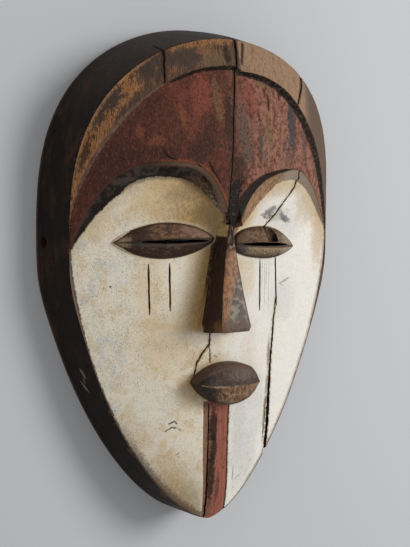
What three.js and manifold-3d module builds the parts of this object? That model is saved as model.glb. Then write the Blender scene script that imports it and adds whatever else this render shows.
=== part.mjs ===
// Vuvi mask: one piece of carved wood, hollowed at the back.
// Millimetres. The mask lies on its flat back rim, face up: X to the viewer's right, Y towards the
// crown, Z out of the face. The origin is the middle of the rim's outer box.

import * as THREE from 'three';
import { mergeVertices } from 'three/addons/utils/BufferGeometryUtils.js';
import Module from 'manifold-3d';

const wasm = await Module();
wasm.setup();

// Outline of the face's front edge, an upper and a lower half that meet at the widest line
const HALF_WIDTH = 125;
const CROWN_RISE = 166;
const CHIN_DROP = 234;
const WIDEST_Y = 30.5;
const UPPER_CURVE = { across: 1.97, along: 3.1 };
const LOWER_CURVE = { across: 1.6, along: 1.56 };
const CHIN_INSET_FACTOR = 1.6;

// Height of the front edge above the back rim, and how far the side wall spreads on its way down
const EDGE_HEIGHT = { side: 36.5, crown: 58, chin: 46.7, chinCurve: 4 };
const WALL_SPREAD = { side: 11.5, crown: 8.5, chin: 1.5, chinCurve: 1.4 };
const WALL_BULGE = 0.5;

// White face: a long dome that rises again under the brows
const FACE_HEIGHT = 60;
const FACE_FALL_TO_CHIN = 6;
const FACE_FALL_STARTS = -40;
const FACE_FALL_RUN = 160;
const FACE_CURVE = 1.7;
const CHIN_TIP_CURVE = 18;
const SOCKET_RISE = 5;
const SOCKET_STARTS = 44;
const SOCKET_FADE = [85, 118];
const BRIDGE_FLANK = { x: 2, reach: 18, rise: 7 };

// Red forehead: a higher dome, from the brows up to the rim band
const FOREHEAD_PEAK = { y: 92, height: 77.5 };
const FOREHEAD_CURVE = 2.2;
const BRIDGE = { y: 41, height: 75 };

// Each brow arch is a crest on the forehead and a foot on the white face, joined by a bevel
const BROW_CREST = {
  left: { x: -60, y: 99, outer: [-124.5, 36], inner: [2, 47], outerCurve: 3, innerCurve: 4 },
  right: { x: 66, y: 91, outer: [124.5, 38], inner: [2, 47], outerCurve: 2, innerCurve: 3.2 },
};
const BROW_FOOT = {
  left: { x: -58, y: 87, outer: [-124.5, 33], inner: [2, 43], outerCurve: 2.1, innerCurve: 2.9 },
  right: { x: 74, y: 81, outer: [122, 34], inner: [14, 39], outerCurve: 1.7, innerCurve: 2.1 },
};

// Raised band round the crown, from temple to temple: the bevel up to it has a foot and a top, and
// its two halves meet a little out of line at the crack
const BAND_HALF_WIDTH = 124.5;
const BAND_Y = 35;
const BAND_FOOT = {
  left: { rise: 137.2, across: 2.1, along: 1.7 },
  right: { rise: 133, across: 2.75, along: 1.05 },
};
const BAND_TOP = {
  left: { rise: 140, across: 1.9, along: 2.2 },
  right: { rise: 135.6, across: 2.7, along: 1.3 },
};
const BAND_BREAK_X = 9.5;
const BAND_STEP = 3.4;
const BAND_STEP_CURVE = 6;

// Hollow at the back: its ceiling goes over from the face to the forehead between two heights of y
const WALL = 13;
const FACE_THICKNESS = 13;
const FOREHEAD_THICKNESS = 15;
const CEILING_CHANGE = [84, 122];
const HOLLOW_SPREAD_SHARE = 0.9;
const BELOW_RIM = -1;

// Eyelids: almond swellings, each split by a slit that goes through the face
const LID_SWELL = 6.5;
const LID_EDGE = 0.9;
const LID_CURVE = { across: 0.7, along: 0.6 };
const LID_OUTER_BLUNTNESS = 0.85;
const LID_FOOT_Z = 40;
const EYES = [
  {
    inner: [-5, 35], outer: [-92, 34.5], up: 14.8, down: 14.4, bluntness: 0.75,
    slit: [[-71, 34.9], [-12, 34]],
  },
  {
    inner: [13.8, 29.5], outer: [81, 24], up: 16, down: 10.9, bluntness: 0.36,
    slit: [[21, 29.6], [70.5, 26.6]],
  },
];
const SLIT_WIDTH = 3.2;
const LID_LOSS = [[44, 42.5], [49, 43.5], [58, 36], [59, 29.5], [47.5, 30], [45.5, 36]];
const LID_LOSS_Z = 56;

// Nose: a tall fin with a flat front that widens downwards
const NOSE_FRONT = [
  { x: 0, y: -39, half: 12.4, z: 89 },
  { x: 0, y: -35, half: 14, z: 88.4 },
  { x: 0.3, y: -7, half: 9.8, z: 82.6 },
  { x: 1, y: 24, half: 5, z: 78 },
  { x: 1.7, y: 38.5, half: 3.6, z: 75.8 },
  { x: 2, y: 47, half: 3.4, z: 75.4 },
];
const NOSE_FOOT_SPREAD = 1.8;
const NOSE_EDGE_DROP = 0.9;
const NOSE_BASE_SLOPE = 4.5;
const NOSE_FOOT_Z = 50;

// Mouth: a thick leaf with a ridge where the lips meet
const MOUTH = { x: 4.3, y: -86.5, halfLength: 29.6, up: 18.7, down: 16.1, ridge: 75.5, lipFall: 4.5 };
const MOUTH_ENDS = { left: { curve: 0.8, rise: 3.5 }, right: { curve: 0.48, rise: 1.5 } };
const MOUTH_END_FALL = 3;
const LIP_CURVE = 1.3;
const MOUTH_DRAFT = 0.6;
const MOUTH_FOOT_Z = 48;

// Incised lines under the eyes, and the stripe from the mouth to the chin, which sways to the right
const TEARS = [
  { x: [-62.5, -60.8], y: [16.5, -25.5] },
  { x: [-44.7, -43.4], y: [16.5, -23] },
  { x: [43.3, 43.9], y: [15.5, -28.5] },
  { x: [60.7, 63.2], y: [20, -26] },
];
const TEAR_WIDTH = 2.1;
const TEAR_DEPTH = 1.6;
const TEAR_END_WIDTH = 0.8;
const TEAR_END_SHARE = 0.15;
const STRIPE = {
  top: -100, halfTop: 12.8, halfBottom: 11.8, depth: 0.8, pastChin: 3, sway: 5, swayCurve: 2.4,
};

// Cracks that run with the grain: points on the face, with the width there, and the depth
const CRACKS = [
  { depth: 5, line: [[13.3, 199, 2.4], [10.4, 176.7, 1.6], [3.8, 132, 1.2], [1.7, 104, 1.2], [-1.6, 58, 0.8]] },
  { depth: 4, line: [[-8, -43, 1], [-8.5, -52, 1.2], [-15, -59.5, 1.4], [-19.6, -67, 1.4], [-22.5, -79, 1]] },
  { depth: 5, line: [[-7.8, -102, 1.2], [-7, -132, 1.6], [-7, -164, 2], [-4.5, -202, 2.4]] },
  { depth: 5, line: [[84, 170, 2.2], [83, 161.4, 1.8], [81, 155.5, 1.6], [75.5, 144.5, 1.4]] },
  { depth: 4, line: [[77.2, 89, 1.2], [81, 82, 1.4], [78.4, 74.2, 1.3], [59.4, 52.5, 1], [47.5, 42.5, 0.8]] },
  { depth: 6, line: [[60, -24, 0.8], [59.5, -39.4, 1.2], [58, -76.7, 2], [58.6, -108, 3], [60, -156, 4]] },
  { depth: 5, line: [[-52, 190, 1.8], [-53.5, 178, 1.6], [-55.4, 160.4, 1]] },
];
const CRACK_STEP = 14;

// Holes near the back edge for the wearer's cord, one at each side
const TIE_HOLE = { radius: 3.5, y: 33.5, z: 10, sides: 12 };

// Facets: columns across and rows up each surface
const COLUMNS = 56;
const ROWS = { cheek: 15, forehead: 6, band: 3 };
const LEAST_ROW = 0.02;
const WALL_RINGS = [0.5, 1];
const HOLLOW_GRID = { columns: 36, rows: 14 };
const LID_GRID = { columns: 20, rows: 8 };
const MOUTH_GRID = { columns: 22, rows: 8 };
const NOSE_COLUMNS = [1, 0.5, -0.5, -1];
const SLIT_STEPS = 6;
const STRIPE_STEPS = 16;
const WELD = 1e-4;

// Height that every cutter reaches, above the whole mask
const TALL = 120;

const lerp = THREE.MathUtils.lerp;
const smoothstep = THREE.MathUtils.smoothstep;

function halfCurve(across, along, u) {
  return Math.max(1 - Math.abs(u) ** across, 0) ** (1 / along);
}

// Upper and lower edge of the outline at x, moved inwards by inset
function crownY(x, inset = 0) {
  const rise = CROWN_RISE - inset;
  return WIDEST_Y + rise * halfCurve(UPPER_CURVE.across, UPPER_CURVE.along, x / (HALF_WIDTH - inset));
}

function chinY(x, inset = 0) {
  const drop = CHIN_DROP - CHIN_INSET_FACTOR * inset;
  return WIDEST_Y - drop * halfCurve(LOWER_CURVE.across, LOWER_CURVE.along, x / (HALF_WIDTH - inset));
}

function edgeHalfWidth(y) {
  const up = y >= WIDEST_Y;
  const curve = up ? UPPER_CURVE : LOWER_CURVE;
  const reach = Math.min(Math.abs(y - WIDEST_Y) / (up ? CROWN_RISE : CHIN_DROP), 1);
  return HALF_WIDTH * Math.max(1 - reach ** curve.along, 1e-6) ** (1 / curve.across);
}

// Blend from the value at the sides to the value at the crown or the chin
function alongOutline(values, y) {
  if (y >= WIDEST_Y) return lerp(values.side, values.crown, ((y - WIDEST_Y) / CROWN_RISE) ** 2);
  return lerp(values.side, values.chin, ((WIDEST_Y - y) / CHIN_DROP) ** values.chinCurve);
}

// Height of the white face, without its rise under the brows
function cheekZ(x, y) {
  const edge = alongOutline(EDGE_HEIGHT, y);
  const across = Math.min(Math.abs(x) / edgeHalfWidth(y), 1);
  const fall = FACE_FALL_TO_CHIN * (Math.min(y - FACE_FALL_STARTS, 0) / FACE_FALL_RUN) ** 2;
  const tip = y < WIDEST_Y ? 1 - Math.min((WIDEST_Y - y) / CHIN_DROP, 1) ** CHIN_TIP_CURVE : 1;
  return edge + (FACE_HEIGHT - fall - edge) * (1 - across ** FACE_CURVE) * tip;
}

function foreheadZ(x, y) {
  const edge = alongOutline(EDGE_HEIGHT, y);
  const across = Math.min(Math.abs(x) / edgeHalfWidth(y), 1);
  const crown = WIDEST_Y + CROWN_RISE;
  const peak = FOREHEAD_PEAK.height;
  const middle = y > FOREHEAD_PEAK.y
    ? lerp(peak, EDGE_HEIGHT.crown, ((y - FOREHEAD_PEAK.y) / (crown - FOREHEAD_PEAK.y)) ** 2)
    : lerp(peak, BRIDGE.height, ((FOREHEAD_PEAK.y - y) / (FOREHEAD_PEAK.y - BRIDGE.y)) ** 2);
  return edge + (middle - edge) * (1 - across ** FOREHEAD_CURVE);
}

// One line of a brow arch: it rises from each end to its highest point
function archY(arches, x) {
  const arch = x < arches.left.inner[0] ? arches.left : arches.right;
  const towardsOuter = Math.abs(x) > Math.abs(arch.x);
  const end = towardsOuter ? arch.outer : arch.inner;
  const curve = towardsOuter ? arch.outerCurve : arch.innerCurve;
  const along = Math.min(Math.abs((x - arch.x) / (end[0] - arch.x)), 1);
  return lerp(arch.y, end[1], along ** curve);
}

function browFootY(x) {
  const middle = x > BROW_FOOT.left.inner[0] && x < BROW_FOOT.right.inner[0];
  return middle ? BROW_FOOT.right.inner[1] : archY(BROW_FOOT, x);
}

function bandY(line, x) {
  const { rise, across, along } = x < BAND_BREAK_X ? line.left : line.right;
  return BAND_Y + rise * halfCurve(across, along, Math.min(Math.abs(x) / BAND_HALF_WIDTH, 1));
}

function bandStep(x) {
  return BAND_STEP * (1 - Math.min(Math.abs(x) / BAND_HALF_WIDTH, 1) ** BAND_STEP_CURVE);
}

function faceZ(x, y) {
  const foot = browFootY(x);
  if (foot <= SOCKET_STARTS) return cheekZ(x, y);
  const flank = BRIDGE_FLANK.rise * Math.exp(-(((x - BRIDGE_FLANK.x) / BRIDGE_FLANK.reach) ** 2));
  const socket = SOCKET_RISE * (1 - smoothstep(Math.abs(x), ...SOCKET_FADE));
  return cheekZ(x, y) + (socket + flank) * smoothstep(y, SOCKET_STARTS, foot);
}

// Height of the finished front at any point, for what is cut into it
function frontZ(x, y) {
  const foot = browFootY(x);
  const crest = archY(BROW_CREST, x);
  if (y <= foot) return faceZ(x, y);
  if (y < crest) return lerp(faceZ(x, foot), foreheadZ(x, crest), (y - foot) / (crest - foot));
  const bandFoot = bandY(BAND_FOOT, x);
  const climb = (y - bandFoot) / Math.max(bandY(BAND_TOP, x) - bandFoot, LEAST_ROW);
  return foreheadZ(x, y) + bandStep(x) * THREE.MathUtils.clamp(climb, 0, 1);
}

// Closed solid from a grid of surface points: the grid's border goes down through each ring in turn,
// and the last ring, which is level, is capped. Flipped, the same grid is the underside of a cutter.
function gridSolid(grid, rings, flipped = false) {
  const corners = [];
  const triangle = (a, b, c) => corners.push(a, flipped ? c : b, flipped ? b : c);
  const quad = (a, b, c, d) => {
    triangle(a, b, c);
    triangle(a, c, d);
  };
  const last = grid.length - 1;
  const side = grid[0].length - 1;
  for (let i = 0; i < last; i++) {
    for (let j = 0; j < side; j++) quad(grid[i][j], grid[i + 1][j], grid[i + 1][j + 1], grid[i][j + 1]);
  }
  const border = [];
  for (let i = 0; i < last; i++) border.push(grid[i][0]);
  for (let j = 0; j < side; j++) border.push(grid[last][j]);
  for (let i = last; i > 0; i--) border.push(grid[i][side]);
  for (let j = side; j > 0; j--) border.push(grid[0][j]);
  let upper = border.filter((point, k) => point.distanceTo(border[(k + 1) % border.length]) > WELD);
  for (const ring of rings) {
    const lower = upper.map(ring);
    upper.forEach((point, k) => {
      const next = (k + 1) % upper.length;
      quad(lower[k], lower[next], upper[next], point);
    });
    upper = lower;
  }
  const contour = upper.map((point) => new THREE.Vector2(point.x, point.y));
  for (const [a, b, c] of THREE.ShapeUtils.triangulateShape(contour, [])) {
    triangle(upper[a], upper[c], upper[b]);
  }
  return solidFromCorners(corners);
}

function solidFromCorners(corners) {
  const geometry = new THREE.BufferGeometry().setFromPoints(corners);
  return toSolid(geometry);
}

function toSolid(geometry) {
  const plain = new THREE.BufferGeometry();
  plain.setAttribute('position', geometry.getAttribute('position'));
  if (geometry.index) plain.setIndex(geometry.index);
  const welded = mergeVertices(plain, WELD);
  const index = [];
  for (let k = 0; k < welded.index.count; k += 3) {
    const [a, b, c] = [0, 1, 2].map((corner) => welded.index.getX(k + corner));
    if (a !== b && b !== c && c !== a) index.push(a, b, c);
  }
  const vertProperties = new Float32Array(welded.getAttribute('position').array);
  return new wasm.Manifold(new wasm.Mesh({ numProp: 3, vertProperties, triVerts: new Uint32Array(index) }));
}

// A grid column at x: rows spread evenly between each two named heights of y
function columnRows(levels, counts) {
  const rows = [levels[0]];
  counts.forEach((count, k) => {
    for (let step = 1; step <= count; step++) rows.push(lerp(levels[k], levels[k + 1], step / count));
  });
  return rows;
}

function ascending(levels, top) {
  const rising = [];
  levels.forEach((level, k) => {
    const room = top - LEAST_ROW * (levels.length - 1 - k);
    rising.push(Math.min(k ? Math.max(level, rising[k - 1] + LEAST_ROW) : level, room));
  });
  return rising;
}

// Outer body, still solid behind
function body() {
  const grid = [];
  for (let i = 0; i <= COLUMNS; i++) {
    const x = -HALF_WIDTH * Math.cos((Math.PI * i) / COLUMNS);
    const pole = i === 0 || i === COLUMNS;
    const low = pole ? WIDEST_Y : chinY(x);
    const high = pole ? WIDEST_Y : crownY(x);
    const lines = [
      low, browFootY(x), archY(BROW_CREST, x), bandY(BAND_FOOT, x), bandY(BAND_TOP, x), high,
    ];
    const levels = pole ? lines.map(() => low) : ascending(lines, high);
    const rows = columnRows(levels, [ROWS.cheek, 1, ROWS.forehead, 1, ROWS.band]);
    const crest = ROWS.cheek + 1;
    const bandStart = crest + ROWS.forehead + 1;
    grid.push(rows.map((y, row) => {
      if (pole) return new THREE.Vector3(x, y, alongOutline(EDGE_HEIGHT, y));
      if (row < crest) return new THREE.Vector3(x, y, faceZ(x, y));
      return new THREE.Vector3(x, y, foreheadZ(x, y) + (row >= bandStart ? bandStep(x) : 0));
    }));
  }
  return gridSolid(grid, WALL_RINGS.map(spread));
}

// Moves a point of the front edge down the side wall, share 1 being the back rim
function spread(share) {
  return (point) => {
    const start = point.start ?? point;
    const direction = edgeNormal(start.x, start.y);
    const out = alongOutline(WALL_SPREAD, start.y) * share * (1 + WALL_BULGE * (1 - share));
    const [x, y] = [start.x + direction.x * out, start.y + direction.y * out];
    const moved = new THREE.Vector3(x, y, start.z * (1 - share));
    moved.start = start;
    return moved;
  };
}

function edgeNormal(x, y) {
  const up = y >= WIDEST_Y;
  const curve = up ? UPPER_CURVE : LOWER_CURVE;
  const reach = up ? CROWN_RISE : CHIN_DROP;
  const across = (curve.across * (Math.abs(x) / HALF_WIDTH) ** (curve.across - 1)) / HALF_WIDTH;
  const along = (curve.along * (Math.abs(y - WIDEST_Y) / reach) ** (curve.along - 1)) / reach;
  return new THREE.Vector2(Math.sign(x) * across, (up ? 1 : -1) * along).normalize();
}

// The hollow: it follows the face, and the forehead above the brows, and opens at the rim
function hollow() {
  const grid = [];
  const halfWidth = HALF_WIDTH - WALL;
  const { columns, rows: rowCount } = HOLLOW_GRID;
  for (let i = 0; i <= columns; i++) {
    const x = -halfWidth * Math.cos((Math.PI * i) / columns);
    const pole = i === 0 || i === columns;
    const low = pole ? WIDEST_Y : chinY(x, WALL);
    const high = pole ? WIDEST_Y : crownY(x, WALL);
    const rows = columnRows([low, high], [rowCount]);
    grid.push(rows.map((y) => new THREE.Vector3(x, y, hollowZ(x, y))));
  }
  const opening = (point) => {
    const direction = edgeNormal(point.x, point.y);
    const out = HOLLOW_SPREAD_SHARE * alongOutline(WALL_SPREAD, point.y);
    return new THREE.Vector3(point.x + direction.x * out, point.y + direction.y * out, BELOW_RIM);
  };
  return gridSolid(grid, [opening]);
}

function hollowZ(x, y) {
  const behindFace = cheekZ(x, y) - FACE_THICKNESS;
  const behindForehead = foreheadZ(x, y) - FOREHEAD_THICKNESS;
  return lerp(behindFace, behindForehead, smoothstep(y, ...CEILING_CHANGE));
}

// One eye's almond, and the slit through it
function eyeShape(eye) {
  const [x0, y0] = eye.inner;
  const [x1, y1] = eye.outer;
  const middleX = (x0 + x1) / 2;
  const half = Math.abs(x1 - x0) / 2;
  return {
    low: middleX - half,
    high: middleX + half,
    axis: (x) => lerp(y0, y1, (x - x0) / (x1 - x0)),
    across: (x) => {
      const u = (x - middleX) / half;
      const towardsNose = (x1 > x0 ? -u : u) > 0;
      return (1 - u * u) ** (towardsNose ? eye.bluntness : LID_OUTER_BLUNTNESS);
    },
  };
}

function eyelids(eye) {
  const shape = eyeShape(eye);
  const { columns, rows } = LID_GRID;
  const grid = [];
  for (let i = 0; i <= columns; i++) {
    const x = lerp(shape.low, shape.high, (1 - Math.cos((Math.PI * i) / columns)) / 2);
    const across = i === 0 || i === columns ? 0 : shape.across(x);
    const column = [];
    for (let j = 0; j <= rows; j++) {
      const v = (2 * j) / rows - 1;
      const y = shape.axis(x) + v * across * (v > 0 ? eye.up : eye.down);
      const swell = (1 - v * v) ** LID_CURVE.across * across ** LID_CURVE.along;
      column.push(new THREE.Vector3(x, y, cheekZ(x, y) + LID_EDGE + LID_SWELL * swell));
    }
    grid.push(column);
  }
  return gridSolid(grid, [(point) => new THREE.Vector3(point.x, point.y, LID_FOOT_Z)]);
}

function prism(points, bottom, top) {
  const shape = new THREE.Shape(points.map(([x, y]) => new THREE.Vector2(x, y)));
  const geometry = new THREE.ExtrudeGeometry(shape, { depth: top - bottom, bevelEnabled: false });
  return toSolid(geometry.translate(0, 0, bottom));
}

function slit(eye) {
  const [[x0, y0], [x1, y1]] = eye.slit;
  const edge = (i, side) => {
    const t = i / SLIT_STEPS;
    const u = 2 * t - 1;
    return [lerp(x0, x1, t), lerp(y0, y1, t) + (side * SLIT_WIDTH * Math.sqrt(1 - u * u)) / 2];
  };
  const points = [];
  for (let i = 0; i < SLIT_STEPS; i++) points.push(edge(i, -1));
  for (let i = SLIT_STEPS; i > 0; i--) points.push(edge(i, 1));
  return prism(points, BELOW_RIM, TALL);
}

function nose() {
  const grid = NOSE_FRONT.map(({ x, y, half, z }) => NOSE_COLUMNS.map((side) => {
    const drop = Math.abs(side) === 1 ? NOSE_EDGE_DROP : 0;
    return new THREE.Vector3(x + side * half, y, z - drop);
  }));
  const base = NOSE_FRONT[0].y;
  const foot = (point) => {
    const x = point.x + Math.sign(point.x) * NOSE_FOOT_SPREAD;
    const y = point.y === base ? base - NOSE_BASE_SLOPE : point.y;
    return new THREE.Vector3(x, y, NOSE_FOOT_Z);
  };
  return gridSolid(grid, [foot]);
}

function mouth() {
  const { columns, rows } = MOUTH_GRID;
  const grid = [];
  for (let i = 0; i <= columns; i++) {
    const u = -Math.cos((Math.PI * i) / columns);
    const end = u < 0 ? MOUTH_ENDS.left : MOUTH_ENDS.right;
    const across = i === 0 || i === columns ? 0 : (1 - u * u) ** end.curve;
    const x = MOUTH.x + u * MOUTH.halfLength;
    const axis = MOUTH.y + end.rise * u * u;
    const column = [];
    for (let j = 0; j <= rows; j++) {
      const v = (2 * j) / rows - 1;
      const y = axis + v * across * (v > 0 ? MOUTH.up : MOUTH.down);
      const z = MOUTH.ridge - MOUTH.lipFall * Math.abs(v) ** LIP_CURVE - MOUTH_END_FALL * u ** 4;
      column.push(new THREE.Vector3(x, y, z));
    }
    grid.push(column);
  }
  const foot = (point) => {
    const out = new THREE.Vector2(point.x - MOUTH.x, point.y - MOUTH.y).normalize();
    return new THREE.Vector3(point.x + out.x * MOUTH_DRAFT, point.y + out.y * MOUTH_DRAFT, MOUTH_FOOT_Z);
  };
  return gridSolid(grid, [foot]);
}

const lift = (point) => new THREE.Vector3(point.x, point.y, TALL);

// Cutter with a V-shaped underside along a line of [x, y, width] points
function groove(line, depth) {
  const grid = line.map(([x, y, width], k) => {
    const [fromX, fromY] = line[Math.max(k - 1, 0)];
    const [toX, toY] = line[Math.min(k + 1, line.length - 1)];
    const across = new THREE.Vector2(fromY - toY, toX - fromX).normalize();
    return [-1, 0, 1].map((side) => {
      const half = (side * width) / 2;
      const [px, py] = [x + across.x * half, y + across.y * half];
      return new THREE.Vector3(px, py, frontZ(px, py) - (side ? 0 : depth));
    });
  });
  return gridSolid(grid, [lift], true);
}

// Splits a line of points so that a groove follows the surface between them
function finer(line, longest) {
  const points = [line[0]];
  for (let k = 1; k < line.length; k++) {
    const span = Math.hypot(line[k][0] - line[k - 1][0], line[k][1] - line[k - 1][1]);
    const steps = Math.ceil(span / longest);
    for (let step = 1; step <= steps; step++) {
      points.push(line[k].map((value, axis) => lerp(line[k - 1][axis], value, step / steps)));
    }
  }
  return points;
}

function tear({ x, y }) {
  const line = [0, TEAR_END_SHARE, 1 - TEAR_END_SHARE, 1].map((t) => {
    const width = t === 0 || t === 1 ? TEAR_END_WIDTH : TEAR_WIDTH;
    return [lerp(x[0], x[1], t), lerp(y[0], y[1], t), width];
  });
  return groove(line, TEAR_DEPTH);
}

function stripe() {
  const bottom = WIDEST_Y - CHIN_DROP - STRIPE.pastChin;
  const grid = [];
  for (let i = 0; i <= STRIPE_STEPS; i++) {
    const up = i / STRIPE_STEPS;
    const y = lerp(bottom, STRIPE.top, up);
    const half = lerp(STRIPE.halfBottom, STRIPE.halfTop, up);
    const middle = STRIPE.sway * (1 - up) ** STRIPE.swayCurve;
    grid.push([1, 0, -1].map((side) => {
      const x = middle + side * half;
      return new THREE.Vector3(x, y, cheekZ(x, Math.max(y, WIDEST_Y - CHIN_DROP)) - STRIPE.depth);
    }));
  }
  return gridSolid(grid, [lift], true);
}

function tieHoles() {
  const { radius, y, z, sides } = TIE_HOLE;
  const geometry = new THREE.CylinderGeometry(radius, radius, 4 * HALF_WIDTH, sides);
  return toSolid(geometry.rotateZ(Math.PI / 2).translate(0, y, z));
}

function carve() {
  let solid = body();
  for (const raised of [...EYES.map(eyelids), nose(), mouth()]) solid = solid.add(raised);
  const lidLoss = prism(LID_LOSS, LID_LOSS_Z, TALL);
  const cuts = [hollow(), stripe(), lidLoss, tieHoles(), ...EYES.map(slit), ...TEARS.map(tear)];
  for (const crack of CRACKS) cuts.push(groove(finer(crack.line, CRACK_STEP), crack.depth));
  for (const cut of cuts) solid = solid.subtract(cut);
  return solid;
}

function toGeometry(solid) {
  const mesh = solid.getMesh();
  const geometry = new THREE.BufferGeometry();
  geometry.setAttribute('position', new THREE.BufferAttribute(new Float32Array(mesh.vertProperties), 3));
  geometry.setIndex(new THREE.BufferAttribute(new Uint32Array(mesh.triVerts), 1));
  return geometry;
}

const wood = new THREE.MeshStandardMaterial({ color: 0xb9ab92, roughness: 0.8, metalness: 0 });
const mask = new THREE.Mesh(toGeometry(carve()), wood);
mask.name = 'mask';

const part = new THREE.Group();
part.add(mask);

export default part;
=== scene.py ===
import math

import bmesh
import bpy
from mathutils import Matrix, Vector, noise


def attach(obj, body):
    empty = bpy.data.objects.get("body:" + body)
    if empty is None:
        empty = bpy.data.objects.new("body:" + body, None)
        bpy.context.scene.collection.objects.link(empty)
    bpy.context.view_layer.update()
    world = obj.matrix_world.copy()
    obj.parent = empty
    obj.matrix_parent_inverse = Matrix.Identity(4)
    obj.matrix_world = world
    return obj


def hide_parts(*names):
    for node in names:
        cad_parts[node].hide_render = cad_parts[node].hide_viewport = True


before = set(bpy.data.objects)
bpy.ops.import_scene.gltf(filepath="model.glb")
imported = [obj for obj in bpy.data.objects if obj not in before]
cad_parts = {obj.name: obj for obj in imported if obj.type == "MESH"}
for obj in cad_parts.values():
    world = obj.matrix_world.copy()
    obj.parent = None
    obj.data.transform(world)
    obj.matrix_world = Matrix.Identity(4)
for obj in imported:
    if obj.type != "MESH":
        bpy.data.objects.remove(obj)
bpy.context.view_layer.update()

# A tall face mask carved from one piece of wood, painted, worn and cracked. It lies on its flat back
# rim: X to the viewer's right, Y towards the crown, Z out of the face. Shapes are worked out in
# millimetres and put into the mesh in metres.
MM = 0.001

# Outline of the face's front edge, an upper and a lower half that meet at the widest line
HALF_WIDTH = 125
CROWN_RISE = 166
CHIN_DROP = 234
WIDEST_Y = 30.5
UPPER_CURVE = (1.97, 3.1)
LOWER_CURVE = (1.6, 1.56)
CHIN_INSET_FACTOR = 1.6

# Height of the front edge above the back rim, how far the side wall spreads on its way down, and how
# round the edge is worn. Here and below, a curve is a power
EDGE_HEIGHT = {"side": 36.5, "crown": 58, "chin": 46.7, "chin_curve": 4}
WALL_SPREAD = {"side": 11.5, "crown": 8.5, "chin": 1.5, "chin_curve": 1.4}
EDGE_RADIUS = {"side": 1.3, "crown": 2.6, "chin": 1.2, "chin_curve": 2}
WALL_BULGE = 0.5
TEMPLE_CURVE = 8

# Unevenness of the worn front edge and of the side wall. Marks are a height, the size of their lumps
# and a seed, and crowding is how much closer together they stand in one direction
EDGE_WEAR = (0.5, 11, 3.7)
EDGE_CHIPS = (0.9, 4, 8.1)
EDGE_CHIPS_ABOVE = 0.25
WALL_DENTS = {"height": 0.6, "size": 17, "crowding": 1.5, "down": 40}
MARKS_START = 0.2
MARKS_END = 0.9

# White face: a long dome that rises again under the brows
FACE_HEIGHT = 60
FACE_FALL_TO_CHIN = 6
FACE_FALL_STARTS = -40
FACE_FALL_RUN = 160
FACE_CURVE = 1.7
CHIN_TIP_CURVE = 18
SOCKET_RISE = 5
SOCKET_STARTS = 44
SOCKET_FADE = (85, 118)
BRIDGE_FLANK = {"x": 2, "reach": 18, "rise": 7}

# Red forehead: a higher dome, from the brows up to the rim band
FOREHEAD_PEAK = {"y": 92, "height": 77.5}
FOREHEAD_CURVE = 2.2
BRIDGE = {"y": 41, "height": 75}

# Marks of the carving tools on both
BROAD_MARKS = (0.45, 26, 1.3)
FACE_MARKS = (0.10, 7, 2.9)
FOREHEAD_MARKS = (0.28, 9, 5.2)
FOREHEAD_CROWDING = 2.2

# Each brow arch is a crest on the forehead and a foot on the white face, joined by a bevel
BROW_CREST = {
    "left": {"x": -60, "y": 99, "outer": (-124.9, 34.5), "inner": (2, 47), "curves": (3, 4)},
    "right": {"x": 66, "y": 91, "outer": (124.9, 34.5), "inner": (2, 47), "curves": (2, 3.2)},
}
BROW_FOOT = {
    "left": {"x": -58, "y": 87, "outer": (-124.9, 32.5), "inner": (2, 43), "curves": (2.1, 2.9)},
    "right": {"x": 74, "y": 81, "outer": (124.9, 33), "inner": (14, 39), "curves": (1.7, 2.1)},
}

# Raised band round the crown, from temple to temple: the bevel up to it has a foot and a top, and
# its two halves, each a rise and a curve, meet a little out of line at the crack
BAND_HALF_WIDTH = 124.9
BAND_Y = 34
BAND_FOOT = {"left": (138.2, (2.1, 1.7)), "right": (134, (2.75, 1.05))}
BAND_TOP = {"left": (141, (1.9, 2.2)), "right": (136.6, (2.7, 1.3))}
BAND_BREAK_X = 9.5
BAND_STEP = 3.4
BAND_STEP_CURVE = 6

# Hollow at the back
WALL = 13
FACE_THICKNESS = 13
FOREHEAD_THICKNESS = 15
CEILING_CHANGE = (84, 122)
HOLLOW_SPREAD_SHARE = 0.9
BELOW_RIM = -1
GOUGE_SCOOPS = (1.1, 15, 6.6)
GOUGE_CROWDING = 0.55
GOUGE_RIPPLES = (0.4, 8, 2.2)

# Eyelids: almond swellings, each split by a slit that goes through the face, and the part of the right
# upper lid that broke away
LID_SWELL = 6.5
LID_EDGE = 0.9
LID_CURVE = (0.7, 0.6)
LID_OUTER_BLUNTNESS = 0.85
LID_FOOT_Z = 40
LID_CLEFT = {"depth": 1.2, "half": 0.14}
LID_MARKS = (0.35, 6, 4.4)
EYES_PART_X = 3
EYES = {
    "left": {"inner": (-5, 35), "outer": (-92, 34.5), "up": 14.8, "down": 14.4, "bluntness": 0.75,
             "slit": ((-71, 34.9), (-12, 34))},
    "right": {"inner": (13.8, 29.5), "outer": (81, 24), "up": 16, "down": 10.9, "bluntness": 0.36,
              "slit": ((21, 29.6), (70.5, 26.6))},
}
SLIT_WIDTH = 3.2
SLIT_MARKS = (0.25, 6, 9.1)
LID_LOSS_LOWER = ((44, 42.5), (45.5, 36), (47.5, 30), (59, 29.5))
LID_LOSS_UPPER = ((44, 42.5), (49, 43.5), (58, 36), (59, 29.5))
LID_LOSS_Z = 56
LID_LOSS_MARKS = (1.2, 6, 3.3)
SPLINTERS = (1.6, 2.6, 7.3)
SPLINTER_CROWDING = 0.35

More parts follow.
